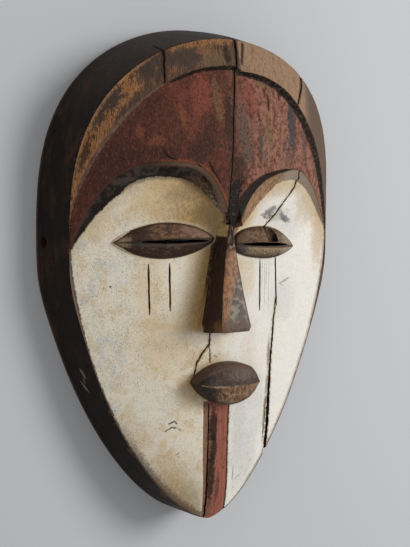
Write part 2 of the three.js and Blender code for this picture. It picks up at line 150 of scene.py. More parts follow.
# Nose: a tall fin with a flat front that widens downwards, as (x, y, half width, height)
NOSE_FRONT = (
    (0, -39, 12.4, 89),
    (0, -35, 14, 88.4),
    (0.3, -7, 9.8, 82.6),
    (1, 24, 5, 78),
    (1.7, 38.5, 3.3, 75.8),
    (2, 47, 1.5, 75.4),
)
NOSE_FOOT_SPREAD = 1.8
NOSE_EDGE_DROP = 0.9
NOSE_EDGE_CURVE = 5
NOSE_BASE_DROP = 0.5
NOSE_BASE_FADE = 2.5
NOSE_BASE_SLOPE = 4.5
NOSE_FOOT_Z = 50
NOSE_MARKS = (0.25, 9, 1.9)
NOSE_FLANK_MARKS = (0.35, 8, 5.1)
NOSE_RING_CURVE = 1.3

# Mouth: a thick leaf with a ridge where the lips meet
MOUTH_X = 4.3
MOUTH_Y = -86.5
MOUTH_HALF_LENGTH = 29.6
MOUTH_UP = 18.7
MOUTH_DOWN = 16.1
MOUTH_RIDGE = 75.5
MOUTH_ENDS = {"left": 0.8, "right": 0.4}
MOUTH_END_RISE = {"left": 3.5, "right": 1.5}
MOUTH_END_RISE_LIMIT = 1.2
MOUTH_END_FALL = 3
MOUTH_END_CURVE = 4
LIP_FALL = 4.5
LIP_CURVE = 1.3
LIP_SPACING = 0.85
LIP_EDGE_DROP = 1.1
LIP_EDGE_STARTS = 0.86
LIP_CUTS = (0.45, 9, 4.1)
LIP_CUTS_CROWDING = (3.2, 0.5)
LIP_CUTS_START = 0.25
MOUTH_DRAFT = 0.6
MOUTH_FOOT_Z = 48

# Incised lines under the eyes as two (x, y) ends, and the stripe from the mouth to the chin
TEARS = (
    ((-62.5, 16.5), (-60.8, -25.5)),
    ((-44.7, 16.5), (-43.4, -23)),
    ((43.3, 15.5), (43.9, -28.5)),
    ((60.7, 20), (63.2, -26)),
)
TEAR_WIDTH = 2.6
TEAR_END_WIDTH = 1
TEAR_DEPTH = 1.2
TEAR_END_SHARE = 0.15
TEAR_WANDER = 0.12
STRIPE_TOP = -100
STRIPE_HALF = (12.8, 11.8)
STRIPE_DEPTH = 0.8
STRIPE_EDGE = 0.7
STRIPE_SWAY = 5
STRIPE_SWAY_CURVE = 2.4

# Cracks that run with the grain: depth, then points on the face as (x, y, width)
CRACKS = (
    (5, ((13.3, 199, 2.4), (10.4, 176.7, 1.6), (3.8, 132, 1.2), (1.7, 104, 1.2), (-1.6, 58, 0.8))),
    (4, ((-8, -43, 1), (-8.5, -52, 1.1), (-15, -59.5, 1.2), (-19.6, -67, 1.3), (-22.2, -77.8, 0.9))),
    (5, ((-7.8, -102, 1.2), (-7, -132, 1.6), (-7, -164, 2), (-4.5, -202, 2.4))),
    (5, ((84, 170, 2.2), (83, 161.4, 1.8), (81, 155.5, 1.6), (75.5, 144.5, 1.4))),
    (4, ((77.2, 89, 1.2), (81, 82, 1.4), (78.4, 74.2, 1.3), (59.4, 52.5, 1), (47.5, 42.5, 0.8))),
    (6, ((62.2, -20, 0.9), (60, -39.4, 1.5), (58, -76.7, 2.5), (58.6, -108, 3.6), (60, -156, 4.6))),
    (5, ((-52, 190, 1.8), (-53.5, 178, 1.6), (-55.4, 160.4, 1))),
)
FINE_CRACKS = (
    (2, ((-8.5, -50, 0.8), (-7.8, -61, 0.7), (-7.6, -68.5, 0.4))),
    (1.6, ((55, -105, 0.7), (55.2, -124, 0.6), (55, -143, 0.5))),
    (1.6, ((-58.1, 108.4, 0.6), (-55.8, 104.5, 0.9), (-52.7, 102.1, 0.9), (-47.9, 100.5, 0.5))),
    (1.6, ((-31.1, 97.9, 0.5), (-27.7, 94.7, 0.8))),
    (2, ((-20.6, 98.6, 0.6), (-17, 92.1, 1), (-13.2, 86.5, 1), (-9.5, 81.6, 0.6))),
    (1.8, ((41, 151, 0.6), (40.8, 145, 0.9), (40.6, 139.7, 0.5))),
    (1.4, ((53.7, 154.3, 0.5), (53.9, 147.8, 0.6))),
    (1.6, ((19.8, 193, 0.8), (17.5, 184, 0.9), (15.4, 176.7, 0.6))),
)
CRACK_STEP = 3
CRACK_WANDER = 0.35
CRACK_FALL = 6

# Section of a groove: its curve, how far its sides stand above the front, and how it sways and narrows
GROOVE_CURVE = 0.6
GROOVE_LIP = 1.2
GROOVE_SWAY_SIZE = 5
GROOVE_PINCH_SIZE = 3
GROOVE_PINCH_SEED = 4

# Tie hole through each side wall, taller than it is wide
TIE_HOLE_RADIUS = 3.5
TIE_HOLE_STRETCH = 1.25
TIE_HOLE_Y = 33.5
TIE_HOLE_Z = 10
TIE_HOLE_SIDES = 32

# How finely each surface is divided
COLUMNS = 216
ROWS = (190, 11, 52, 5, 16)
CHIN_ARC_HALF = 62
WALL_RINGS = 18
WALL_RING_CURVE = 1.6
HOLLOW_GRID = (64, 84)
LID_GRID = (76, 20)
MOUTH_GRID = (64, 28)
NOSE_GRID = (20, 70)
SLIT_COLUMNS = 40
LID_LOSS_GRID = (18, 14)
GROOVE_ROWS = 4
SIDE_RINGS = 8
CURVE_SAMPLES = 2000
WELD = 1e-4

# Height that every cutter reaches, above the whole mask
TALL = 120

# Order of the mask's finishes
PAINT, WALL_WOOD, HOLLOW_WOOD, BREAK, CUT, LID, NOSE_FACET, NOSE_FLANK, MOUTH_WOOD = range(9)
SHARP_ANGLE = math.radians(38)

# Distances that the mesh carries for the finishes: what it says far from any crack, how near a crack
# is measured, and half the step over which a line's slope is taken
FAR = 60
NEAR_CRACK = 6
HALF_STEP = 0.5

# Height over which a patch of colour stays the same, its whole reach against its own size, and how
# each seed moves an uneven pattern
FLAT = 1e5
PATCH_REACH = 3
SEED_STEPS = (7.13, 3.71, 5.37)

# How much the dry paint and the rubbed wood shine
DRY_SHEEN = 0.1
LID_SHEEN = 0.15
NOSE_SHEEN = 0.25
LIP_SHEEN = 0.2

# Colours, in the order red, green, blue, of what each layer shows
CLAY_WHITE = (0.80, 0.785, 0.735)
CLAY_CREAM = (0.80, 0.74, 0.61)
CLAY_OCHRE = (0.64, 0.48, 0.27)
CLAY_STAIN_AND_SHADE = (0.44, 0.28, 0.10)
CLAY_COOL = (0.58, 0.59, 0.58)
CLAY_SPECK = (0.20, 0.15, 0.10)
BARE_TAN = (0.34, 0.225, 0.135)
BARE_PINK = (0.25, 0.150, 0.105)
BARE_ORANGE = (0.34, 0.155, 0.062)
ARRIS_ORANGE = (0.50, 0.26, 0.125)
WORN_BROWN = (0.17, 0.092, 0.05)
BROWN = (0.092, 0.052, 0.034)
DARK_BROWN = (0.036, 0.020, 0.014)
BLACK = (0.014, 0.0105, 0.0085)
CRUST = (0.013, 0.010, 0.0085)
PALE_CRUST = (0.36, 0.31, 0.25)
RED_DARK = (0.078, 0.028, 0.020)
RED = (0.128, 0.041, 0.027)
RED_BRIGHT = (0.23, 0.062, 0.040)
RED_PINK = (0.305, 0.145, 0.100)
RED_ORANGE = (0.30, 0.105, 0.045)
PURPLE_GREY = (0.058, 0.042, 0.034)
GREY_BROWN = (0.125, 0.092, 0.074)
BLUE_GREY = (0.062, 0.056, 0.056)
STRIPE_RED = (0.30, 0.096, 0.068)
OLIVE_TAN = (0.19, 0.125, 0.065)

# Stained areas of the white clay: x, y, half width, half height, turn, colour, strength
CLAY_STAINS = (
    (-26, 62, 26, 24, 20, CLAY_STAIN_AND_SHADE, 0.88),
    (-14, 56, 18, 19, 20, CLAY_STAIN_AND_SHADE, 0.65),
    (-14, 56, 12, 14, 20, OLIVE_TAN, 0.45),
    (-40, 80, 26, 9, 10, CLAY_STAIN_AND_SHADE, 0.45),
    (-52, 69, 28, 15, 10, CLAY_OCHRE, 0.85),
    (-34, 74, 18, 8, 14, OLIVE_TAN, 0.35),
    (-28, 79, 9, 4, -30, GREY_BROWN, 0.60),
    (-17, 74, 8, 5, -50, BROWN, 0.55),
    (-100, 48, 12, 7, 40, CLAY_OCHRE, 0.50),
    (-90, 18, 10, 26, 5, CLAY_WHITE, 0.35),
    (-62, -2, 12, 30, 0, CLAY_OCHRE, 0.35),
    (-48, -48, 24, 26, 0, CLAY_OCHRE, 0.45),
    (-70, -128, 14, 18, 20, CLAY_OCHRE, 0.35),
    (-28, -92, 10, 14, 0, CLAY_STAIN_AND_SHADE, 0.55),
    (-19, -62, 8, 5, 50, CLAY_STAIN_AND_SHADE, 0.35),
    (-52, -100, 20, 14, 0, CLAY_WHITE, 0.30),
    (-28, -184, 14, 24, 16, CLAY_STAIN_AND_SHADE, 0.60),
    (-40, -160, 12, 20, 20, CLAY_OCHRE, 0.50),
    (22, 50, 14, 16, -30, CLAY_OCHRE, 0.65),
    (62, 76, 24, 9, 0, CLAY_STAIN_AND_SHADE, 0.40),
    (100, 60, 16, 18, -40, CLAY_STAIN_AND_SHADE, 0.45),
    (114, 30, 8, 26, 0, CLAY_STAIN_AND_SHADE, 0.50),
    (20, 4, 5, 26, 0, CLAY_OCHRE, 0.40),
    (32, -75, 8, 24, 0, CLAY_OCHRE, 0.25),
    (24, -118, 8, 26, 0, CLAY_COOL, 0.70),
    (30, -152, 14, 24, 0, CLAY_COOL, 0.65),
    (42, -112, 10, 30, 0, CLAY_COOL, 0.50),
    (70, -20, 14, 16, 0, CLAY_COOL, 0.45),
    (66, 46, 24, 12, -20, CLAY_COOL, 0.45),
    (31, 6, 7, 20, 0, CLAY_OCHRE, 0.40),
    (55.5, -66, 1.6, 12, 0, GREY_BROWN, 0.70),
    (55.3, -93, 1.5, 9, 0, GREY_BROWN, 0.70),
    (54.2, -120, 1.6, 14, 0, BROWN, 0.60),
    (-23, -80.5, 3.6, 4.6, 10, BARE_ORANGE, 0.50),
    (-22.6, -80, 1.8, 3.6, 20, DARK_BROWN, 0.85),
)

# Scrapes and strokes that show dark on it, in the same order without the colour
CLAY_MARKS = (
    (52.5, 55, 8, 3.0, 25, 0.70),
    (53.5, 50.4, 5, 1.6, 8, 0.60),
    (62, 52, 10, 5, 0, 0.28),
    (71, 48.5, 7, 2.6, -30, 0.70),
    (71, 46, 4, 1.2, -45, 0.50),
    (62, 56.5, 5, 0.8, -20, 0.25),
    (73, -5, 5, 1.0, 20, 0.45),
    (70, -9, 3, 0.7, -30, 0.35),
    (-40.2, -116.2, 2.6, 0.7, 24, 0.85),
    (-36.4, -116.4, 2.2, 0.7, -50, 0.85),
    (-42.5, -121.6, 2.9, 0.7, 30, 0.85),
    (-37.4, -120.4, 2.7, 0.8, -10, 0.80),
    (-33.4, -122.2, 1.8, 0.6, -36, 0.70),
    (-33.7, -143, 1.6, 0.5, 40, 0.70),
    (-32.6, -146, 1.4, 0.5, -30, 0.55),
    (-3, -62.5, 2.6, 0.6, -18, 0.60),
    (1, -60.8, 1.4, 0.5, 24, 0.45),
    (-93, -1, 1, 1, 0, 0.85),
    (46.2, 1, 0.35, 16, 0, 0.40),
    (49.1, -3, 0.35, 18, 0.5, 0.40),
    (51, 2, 0.35, 12, -0.5, 0.35),
    (53.9, -8, 0.35, 18, 0.5, 0.35),
    (20, -165, 0.6, 7, 0, 0.60),
    (26, -170, 5, 0.5, 24, 0.40),
)

# Patches on the forehead: x, y, half width, half height, turn, colour, strength
FOREHEAD_PATCHES = (
    (-23, 152, 9, 19, 0, RED_BRIGHT, 0.85),
    (-31, 128, 8, 14, 0, RED_BRIGHT, 0.45),
    (-45, 152, 10, 12, 0, RED_BRIGHT, 0.35),
    (-41, 136, 3, 10, 6, RED_ORANGE, 0.40),
    (-76, 122, 3, 6, 0, RED_ORANGE, 0.35),
    (-63, 115, 7, 4, 10, RED_ORANGE, 0.35),
    (-10, 147, 3.6, 16, 4, OLIVE_TAN, 0.55),
    (-5, 140, 3, 12, 0, RED_ORANGE, 0.40),
    (-1, 132, 4, 22, 0, DARK_BROWN, 0.80),
    (-20, 124, 8, 15, 0, DARK_BROWN, 0.55),
    (-28, 109, 9, 12, 0, DARK_BROWN, 0.55),
    (-62, 142, 16, 10, 30, RED_DARK, 0.55),
    (-98, 96, 16, 26, -30, RED_DARK, 0.85),
    (-70, 104, 24, 7, 6, DARK_BROWN, 0.45),
    (13, 128, 6, 20, 0, GREY_BROWN, 0.75),
    (16, 104, 6, 10, 0, GREY_BROWN, 0.70),
    (22, 148, 8, 14, 0, RED_BRIGHT, 0.55),
    (40, 122, 4.5, 13, 0, OLIVE_TAN, 0.65),
    (36, 106, 4, 12, 0, BARE_PINK, 0.50),
    (30, 112, 2.2, 19, 0, BLUE_GREY, 0.75),
    (38, 162, 9, 3.6, -14, OLIVE_TAN, 0.75),
    (68, 126, 5, 25, 0, BLUE_GREY, 0.95),
    (60, 104, 4, 14, 0, GREY_BROWN, 0.50),
    (84, 112, 3, 22, 0, BLUE_GREY, 0.50),
    (8, 92, 8, 12, 0, DARK_BROWN, 0.70),
)

# Patches on the rim band, in the same order
BAND_PATCHES = (
    (-98, 149, 8, 14, -40, PURPLE_GREY, 0.95),
    (-106, 133, 4, 9, -30, PURPLE_GREY, 0.85),
    (-116, 104, 3, 12, -14, DARK_BROWN, 0.80),
    (-68, 172, 12, 9, 20, PURPLE_GREY, 0.85),
    (-36, 181, 14, 8, 6, PURPLE_GREY, 0.70),
    (-12, 180, 10, 7, 0, OLIVE_TAN, 0.45),
    (-65, 184, 12, 3.4, 22, BARE_ORANGE, 0.80),
    (-18, 187, 8, 4, 0, BARE_ORANGE, 0.30),
    (3, 184, 3, 8, 0, BLACK, 0.70),
    (11, 180, 2.5, 9, 0, OLIVE_TAN, 0.60),
    (98, 140, 8, 22, 30, GREY_BROWN, 0.45),
    (8, 186, 5, 5, 0, BROWN, 0.60),
)

# Smudges on the stripe from the mouth to the chin, in the same order
STRIPE_PATCHES = (
    (-3, -122, 4, 14, 0, BLACK, 0.85),
    (-1.5, -142, 3, 12, 0, BLACK, 0.80),
    (-3, -166, 3.4, 22, 2, BLACK, 0.80),
    (4, -176, 2, 14, 0, DARK_BROWN, 0.60),
    (7, -134, 1.6, 24, 0, RED_BRIGHT, 0.55),
)

# Pale scuffs on the side wall, in the same order without the colour
WALL_SCUFFS = (
    (-106, -74, 0.35, 4.5, 26, 0.45),
    (-102, -86, 0.3, 5, 28, 0.4),
    (-104, -80, 0.25, 3, 22, 0.3),
)

# Camera of the photograph
PHOTO_WIDTH = 410
PHOTO_HEIGHT = 547
AIM = Vector((0, -3.5, 45)) * MM
AIM_PIXEL = (209, 283)
AZIMUTH = math.radians(32)
ELEVATION = math.radians(7.1)
ROLL = math.radians(0.4)
DISTANCE = 1300 * MM
PIXELS_PER_METRE = 1204
SENSOR = 36

# Studio, in metres: a pale floor, one soft light above the crown's right side, and an even sky
FLOOR_HALF = 4
FLOOR_COLOUR = (0.55, 0.57, 0.60, 1)
FLOOR_ROUGHNESS = 0.9
KEY_PLACE = (1.15, 0.42, 1.3)
KEY_AIM = (0, 0, 0.04)
KEY_SIZE = 0.9
KEY_POWER = 21
KEY_COLOUR = (1, 0.975, 0.94)
SKY_COLOUR = (0.88, 0.87, 0.86, 1)
SKY_STRENGTH = 0.5


def lerp(a, b, t):
    return a + (b - a) * t


def clamp(value):
    return min(max(value, 0.0), 1.0)


def smoothstep(low, high, value):
    t = clamp((value - low) / (high - low))
    return t * t * (3 - 2 * t)


def wobble(x, y, size, seed=0.0):
    """Smooth noise from -1 to 1 with lumps of about that size in millimetres."""
    return noise.noise(Vector((x / size, y / size, seed)))


def lumps(marks, x, y):
    """Height of the marks at a point."""
    height, size, seed = marks
    return height * wobble(x, y, size, seed)


def half_curve(curve, u):
    return max(1 - abs(u) ** curve[0], 0) ** (1 / curve[1])


def crown_y(x, inset=0):
    return WIDEST_Y + (CROWN_RISE - inset) * half_curve(UPPER_CURVE, x / (HALF_WIDTH - inset))


def chin_y(x, inset=0):
    drop = CHIN_DROP - CHIN_INSET_FACTOR * inset
    return WIDEST_Y - drop * half_curve(LOWER_CURVE, x / (HALF_WIDTH - inset))


def outline_half(y):
    """The outline's curve and reach on that side of the widest line."""
    return (UPPER_CURVE, CROWN_RISE) if y >= WIDEST_Y else (LOWER_CURVE, CHIN_DROP)


def edge_half_width(y):
    (across, along), reach = outline_half(y)
    rise = min(abs(y - WIDEST_Y) / reach, 1)
    return HALF_WIDTH * max(1 - rise**along, 1e-6) ** (1 / across)


def edge_slope(x, y):
    """Uphill direction of the outline's formula, which points straight out of the outline."""
    (across, along), reach = outline_half(y)
    slope_x = across * (abs(x) / HALF_WIDTH) ** (across - 1) / HALF_WIDTH
    slope_y = along * (abs(y - WIDEST_Y) / reach) ** (along - 1) / reach
    return Vector((math.copysign(slope_x, x), math.copysign(slope_y, y - WIDEST_Y)))


def inset_at(x, y):
    """Distance in from the outline, exact enough near it."""
    (across, along), reach = outline_half(y)
    fill = (abs(x) / HALF_WIDTH) ** across + (abs(y - WIDEST_Y) / reach) ** along
    return (1 - fill) / max(edge_slope(x, y).length, 1e-4)


def along_outline(values, y):
    """Blend from the value at the sides to the value at the crown or the chin."""
    if y >= WIDEST_Y:
        return lerp(values["side"], values["crown"], ((y - WIDEST_Y) / CROWN_RISE) ** 2)
    down = (WIDEST_Y - y) / CHIN_DROP
    return lerp(values["side"], values["chin"], down ** values["chin_curve"])


def cheek_z(x, y):
    """Height of the white face, without its rise under the brows."""
    edge = along_outline(EDGE_HEIGHT, y)
    across = min(abs(x) / edge_half_width(y), 1)
    fall = FACE_FALL_TO_CHIN * (min(y - FACE_FALL_STARTS, 0) / FACE_FALL_RUN) ** 2
    tip = 1
    if y < WIDEST_Y:
        tip = 1 - min((WIDEST_Y - y) / CHIN_DROP, 1) ** CHIN_TIP_CURVE
    return edge + (FACE_HEIGHT - fall - edge) * (1 - across**FACE_CURVE) * tip


def forehead_z(x, y):
    edge = along_outline(EDGE_HEIGHT, y)
    across = min(abs(x) / edge_half_width(y), 1)
    peak = FOREHEAD_PEAK["height"]
    if y > FOREHEAD_PEAK["y"]:
        away = (y - FOREHEAD_PEAK["y"]) / (WIDEST_Y + CROWN_RISE - FOREHEAD_PEAK["y"])
        middle = lerp(peak, EDGE_HEIGHT["crown"], away**2)
    else:
        away = (FOREHEAD_PEAK["y"] - y) / (FOREHEAD_PEAK["y"] - BRIDGE["y"])
        middle = lerp(peak, BRIDGE["height"], away**2)
    return edge + (middle - edge) * (1 - across**FOREHEAD_CURVE)


def arch_y(arches, x):
    """One line of the brow arches: it rises from each end to its highest point."""
    arch = arches["left"] if x < arches["left"]["inner"][0] else arches["right"]
    outwards = abs(x) > abs(arch["x"])
    end = arch["outer"] if outwards else arch["inner"]
    curve = arch["curves"][0 if outwards else 1]
    share = min(abs((x - arch["x"]) / (end[0] - arch["x"])), 1)
    return lerp(arch["y"], end[1], share**curve)


def brow_foot_y(x):
    left, right = BROW_FOOT["left"]["inner"], BROW_FOOT["right"]["inner"]
    if left[0] < x < right[0]:
        return lerp(left[1], right[1], smoothstep(left[0], right[0], x))
    return arch_y(BROW_FOOT, x)


def brow_crest_y(x):
    return arch_y(BROW_CREST, x)


def band_half(line, x):
    return line["left"] if x < BAND_BREAK_X else line["right"]


def band_y(line, x):
    rise, curve = band_half(line, x)
    return BAND_Y + rise * half_curve(curve, min(abs(x) / BAND_HALF_WIDTH, 1))


def band_step(x):
    return BAND_STEP * (1 - min(abs(x) / BAND_HALF_WIDTH, 1) ** BAND_STEP_CURVE)


def face_z(x, y):
    foot = brow_foot_y(x)
    if foot <= SOCKET_STARTS:
        return cheek_z(x, y)
    flank = BRIDGE_FLANK["rise"] * math.exp(-(((x - BRIDGE_FLANK["x"]) / BRIDGE_FLANK["reach"]) ** 2))
    socket = SOCKET_RISE * (1 - smoothstep(*SOCKET_FADE, abs(x)))
    return cheek_z(x, y) + (socket + flank) * smoothstep(SOCKET_STARTS, foot, y)


def front_z(x, y):
    """Height of the front at any point, for what is cut into it."""
    foot = brow_foot_y(x)
    crest = brow_crest_y(x)
    if y <= foot:
        return face_z(x, y)
    if y < crest:
        return lerp(face_z(x, foot), forehead_z(x, crest), (y - foot) / (crest - foot))
    band_foot = band_y(BAND_FOOT, x)
    climb = clamp((y - band_foot) / max(band_y(BAND_TOP, x) - band_foot, 1e-3))
    return forehead_z(x, y) + band_step(x) * climb


def evenly(curve, count):
    """count + 1 points at equal distances along a curve given for 0 to 1."""
    samples = [curve(k / CURVE_SAMPLES) for k in range(CURVE_SAMPLES + 1)]
    lengths = [0.0]
    for a, b in zip(samples, samples[1:]):
        lengths.append(lengths[-1] + math.dist(a, b))
    points = []
    k = 0
    for step in range(count + 1):
        wanted = lengths[-1] * step / count
        while k < CURVE_SAMPLES - 1 and lengths[k + 1] < wanted:
            k += 1
        share = (wanted - lengths[k]) / max(lengths[k + 1] - lengths[k], 1e-9)
        points.append([lerp(a, b, clamp(share)) for a, b in zip(samples[k], samples[k + 1])])
    return points


def level_line(height_at, half_width):
    """Curve of (x, y) from the left end to the right end of a line given by its y at each x."""

    def point(t):
        x = -half_width * math.cos(math.pi * t)
        return x, height_at(x)

    return point


def outer_curve(half_width, base, half_at):
    """The same for a line that starts and ends upright; half_at gives its rise and curve at x."""

    def point(t):
        turn = math.pi * t
        rise, curve = half_at(-half_width * math.cos(turn))
        across = math.copysign(abs(math.cos(turn)) ** (2 / curve[0]), -math.cos(turn))
        return half_width * across, base + rise * math.sin(turn) ** (2 / curve[1])

    return point


def band_line(line):
    return outer_curve(BAND_HALF_WIDTH, BAND_Y, lambda x: band_half(line, x))


def cheek_side(side):
    """Outline from the end of the chin arc up to the temple."""

    def point(t):
        turn = t**2 * (3 - 2 * t)
        y = lerp(chin_y(CHIN_ARC_HALF), WIDEST_Y, t)
        return side * lerp(edge_half_width(y), HALF_WIDTH, turn**TEMPLE_CURVE), y

    return point


def rounded(distance, radius):
    """Where a point that far from a sharp edge lands once the edge is rounded: (in, down)."""
    turn = math.radians(45) * (1 - distance / radius)
    return radius * (1 - math.sin(turn)), radius * (1 - math.cos(turn))


def edge_radius(x, y):
    height, size, seed = EDGE_CHIPS
    chips = height * max(wobble(x, y, size, seed) - EDGE_CHIPS_ABOVE, 0)
    return along_outline(EDGE_RADIUS, y) * (1 + lumps(EDGE_WEAR, x, y) + chips)


def tool_marks(x, y, on_forehead):
    """Shallow unevenness that the carving tools left."""
    broad = lumps(BROAD_MARKS, x, y)
    if on_forehead:
        return broad + lumps(FOREHEAD_MARKS, x * FOREHEAD_CROWDING, y)
    return broad + lumps(FACE_MARKS, x, y)


def beside_stripe(x, y):
    """Distance outside the stripe between the mouth and the chin, below 0 within it."""
    bottom = WIDEST_Y - CHIN_DROP
    down = clamp((STRIPE_TOP - y) / (STRIPE_TOP - bottom))
    middle = STRIPE_SWAY * down**STRIPE_SWAY_CURVE
    return max(abs(x - middle) - lerp(*STRIPE_HALF, down), y - STRIPE_TOP)


class FrontGrid:
    """Lines across the front, from the chin to the crown, and the surface between them."""

    def __init__(self):
        foot = level_line(brow_foot_y, HALF_WIDTH)
        crest = level_line(brow_crest_y, HALF_WIDTH)
        crown = outer_curve(HALF_WIDTH, WIDEST_Y, lambda x: (CROWN_RISE, UPPER_CURVE))
        chin = level_line(chin_y, CHIN_ARC_HALF)
        lines = (chin, foot, crest, band_line(BAND_FOOT), band_line(BAND_TOP), crown)
        self.lines = [evenly(line, COLUMNS) for line in lines]
        for line in self.lines[1:]:
            line[0] = [-HALF_WIDTH, WIDEST_Y]
            line[-1] = [HALF_WIDTH, WIDEST_Y]
        self.sides = [evenly(cheek_side(side), ROWS[0]) for side in (-1, 1)]
        for side, corner in zip(self.sides, (0, -1)):
            side[0] = self.lines[0][corner]
            side[-1] = self.lines[1][corner]

    def flat(self, column, row):
        """(x, y) of a grid point, with its span between two lines and its share of that span."""
        span = 0
        while span < len(ROWS) - 1 and row > ROWS[span]:
            row -= ROWS[span]
            span += 1
        t = row / ROWS[span]
        low, high = self.lines[span], self.lines[span + 1]
        point = [lerp(a, b, t) for a, b in zip(low[column], high[column])]
        if span == 0:
            u = column / COLUMNS
            for axis in (0, 1):
                sides = lerp(self.sides[0][row][axis], self.sides[1][row][axis], u)
                left, right = (lerp(low[end][axis], high[end][axis], t) for end in (0, -1))
                point[axis] += sides - lerp(left, right, u)
        return point, span, t

    def surface(self, column, row):
        (x, y), span, t = self.flat(column, row)
        if span == 0:
            recess = smoothstep(STRIPE_EDGE, -STRIPE_EDGE, beside_stripe(x, y))
            z = face_z(x, y) + tool_marks(x, y, False) - STRIPE_DEPTH * recess
        elif span == 1:
            foot, crest = self.lines[1][column], self.lines[2][column]
            z = lerp(face_z(*foot), forehead_z(*crest), t)
            z += lerp(tool_marks(*foot, False), tool_marks(*crest, True), t)
        else:
            z = forehead_z(x, y) + tool_marks(x, y, True)
            z += band_step(x) * (0, 0, 0, t, 1)[span]
        return Vector((x, y, z))


class Link:
    """A value in a finish. Arithmetic on it adds the nodes that work it out."""

    def __init__(self, finish, socket):
        self.finish = finish
        self.socket = socket

    def maths(self, operation, first, second):
        return self.finish.node("ShaderNodeMath", {"operation": operation}, {0: first, 1: second})

    def __add__(self, other):
        return self.maths("ADD", self, other)

    __radd__ = __add__

    def __sub__(self, other):
        return self.maths("SUBTRACT", self, other)

    def __rsub__(self, other):
        return self.maths("SUBTRACT", other, self)

    def __mul__(self, other):
        return self.maths("MULTIPLY", self, other)

    __rmul__ = __mul__

    def rise(self, low, high):
        """0 where the value is at low, 1 where it is at high, and smooth between them."""
        settings = {"interpolation_type": "SMOOTHSTEP"}
        sockets = {"Value": self, "From Min": low, "From Max": high}
        return self.finish.node("ShaderNodeMapRange", settings, sockets)

    def coat(self, colour, share):
        """Puts another colour over this one, by its share."""
        self.socket = self.finish.mix(self, colour, share).socket

    def shade(self, factor):
        """Makes this colour darker by a factor below 1 or lighter by one above 1."""
        self.socket = self.finish.mix(self, (0, 0, 0), 1 - factor, False).socket

    def patches(self, patches, soft, ragged):
        """Puts each patch of colour in a list over this one."""
        for *oval, colour, strength in patches:
            self.coat(colour, strength * self.finish.patch(*oval, soft, ragged))


class Finish:
    """A finish of the mask: its shader, and the patterns that colour and roughen it."""

    def __init__(self, name):
        self.material = bpy.data.materials.new(name)
        self.material.use_nodes = True
        self.tree = self.material.node_tree
        spot = self.node("ShaderNodeTexCoord", {}, {}, "Object")
        self.place = self.node("ShaderNodeMapping", {}, {"Vector": spot, "Scale": (1 / MM,) * 3})
        self.x = self.measure("across")
        self.y = self.measure("along")
        self.z = self.node("ShaderNodeSeparateXYZ", {}, {0: self.place}, "Z")
        self.ragged = self.cloud(4.5, 4, 0.72, seed=31) - 0.5
        self.frayed = self.cloud(1.5, 3, 0.7, seed=32) - 0.5
        self.uneven = self.ragged + 0.6 * self.frayed

    def node(self, kind, settings, sockets, output=0):
        made = self.tree.nodes.new(kind)
        for name, value in settings.items():
            setattr(made, name, value)
        for key, value in sockets.items():
            self.feed(made.inputs[key], value)
        return Link(self, made.outputs[output])

    def feed(self, socket, value):
        if isinstance(value, Link):
            self.tree.links.new(value.socket, socket)
        elif socket.type == "RGBA":
            socket.default_value = (*value, 1)
        else:
            socket.default_value = value

    def measure(self, name):
        """One of the distances that the mesh carries, in millimetres."""
        return self.node("ShaderNodeAttribute", {"attribute_name": name}, {}, "Fac")

    def cloud(self, size, detail=3, roughness=0.55, stretch=(1, 1, 1), seed=0):
        """Uneven pattern about 0.5, its lumps as wide as the size in millimetres times the stretch."""
        scale = [1 / (size * part) for part in stretch]
        shift = [step * seed for step in SEED_STEPS]
        sockets = {"Vector": self.place, "Location": shift, "Scale": scale}
        local = self.node("ShaderNodeMapping", {}, sockets)
        sockets = {"Vector": local, "Scale": 1, "Detail": detail, "Roughness": roughness}
        return self.node("ShaderNodeTexNoise", {}, sockets)

    def grain(self, width, seed=0):
        """Vertical wood grain about 0.5."""
        return self.cloud(width, 4, 0.65, (1, 12, 1.6), seed)

    def mix(self, below, above, share, limited=True):
        """One colour over another. A Mix node's colours are its inputs 6 and 7 and its output 2."""
        settings = {"data_type": "RGBA", "clamp_factor": limited}
        return self.node("ShaderNodeMix", settings, {0: share, 6: below, 7: above}, 2)

    def patch(self, x, y, half_width, half_height, turn=0, soft=0.5, ragged=2.2):
        """Share of an uneven oval patch of the front: 1 within it and 0 outside it."""
        settings = {"vector_type": "TEXTURE"}
        sockets = {
            "Vector": self.place,
            "Location": (x, y, 0),
            "Rotation": (0, 0, math.radians(turn)),
            "Scale": (PATCH_REACH * half_width, PATCH_REACH * half_height, FLAT),
        }
        local = self.node("ShaderNodeMapping", settings, sockets)
        settings = {"gradient_type": "SPHERICAL"}
        near = self.node("ShaderNodeTexGradient", settings, {"Vector": local}, "Fac")
        reach = PATCH_REACH - PATCH_REACH * near
        return (reach + ragged * self.uneven).rise(1 + soft / 2, 1 - soft / 2)

    def finished(self, layer, sheen=DRY_SHEEN):
        colour, roughness, height = layer
        shader = self.tree.nodes["Principled BSDF"]
        sockets = {"Strength": 1, "Distance": MM, "Height": height}
        self.feed(shader.inputs["Base Color"], colour)
        self.feed(shader.inputs["Roughness"], roughness)
        self.feed(shader.inputs["Normal"], self.node("ShaderNodeBump", {}, sockets))
        shader.inputs["Specular IOR Level"].default_value = sheen
        return self.material

    def over(self, below, above, share):
        """One layer of (colour, roughness, height) over another."""
        flat = [a + (b - a) * share for a, b in zip(below[1:], above[1:])]
        return [self.mix(below[0], above[0], share)] + flat


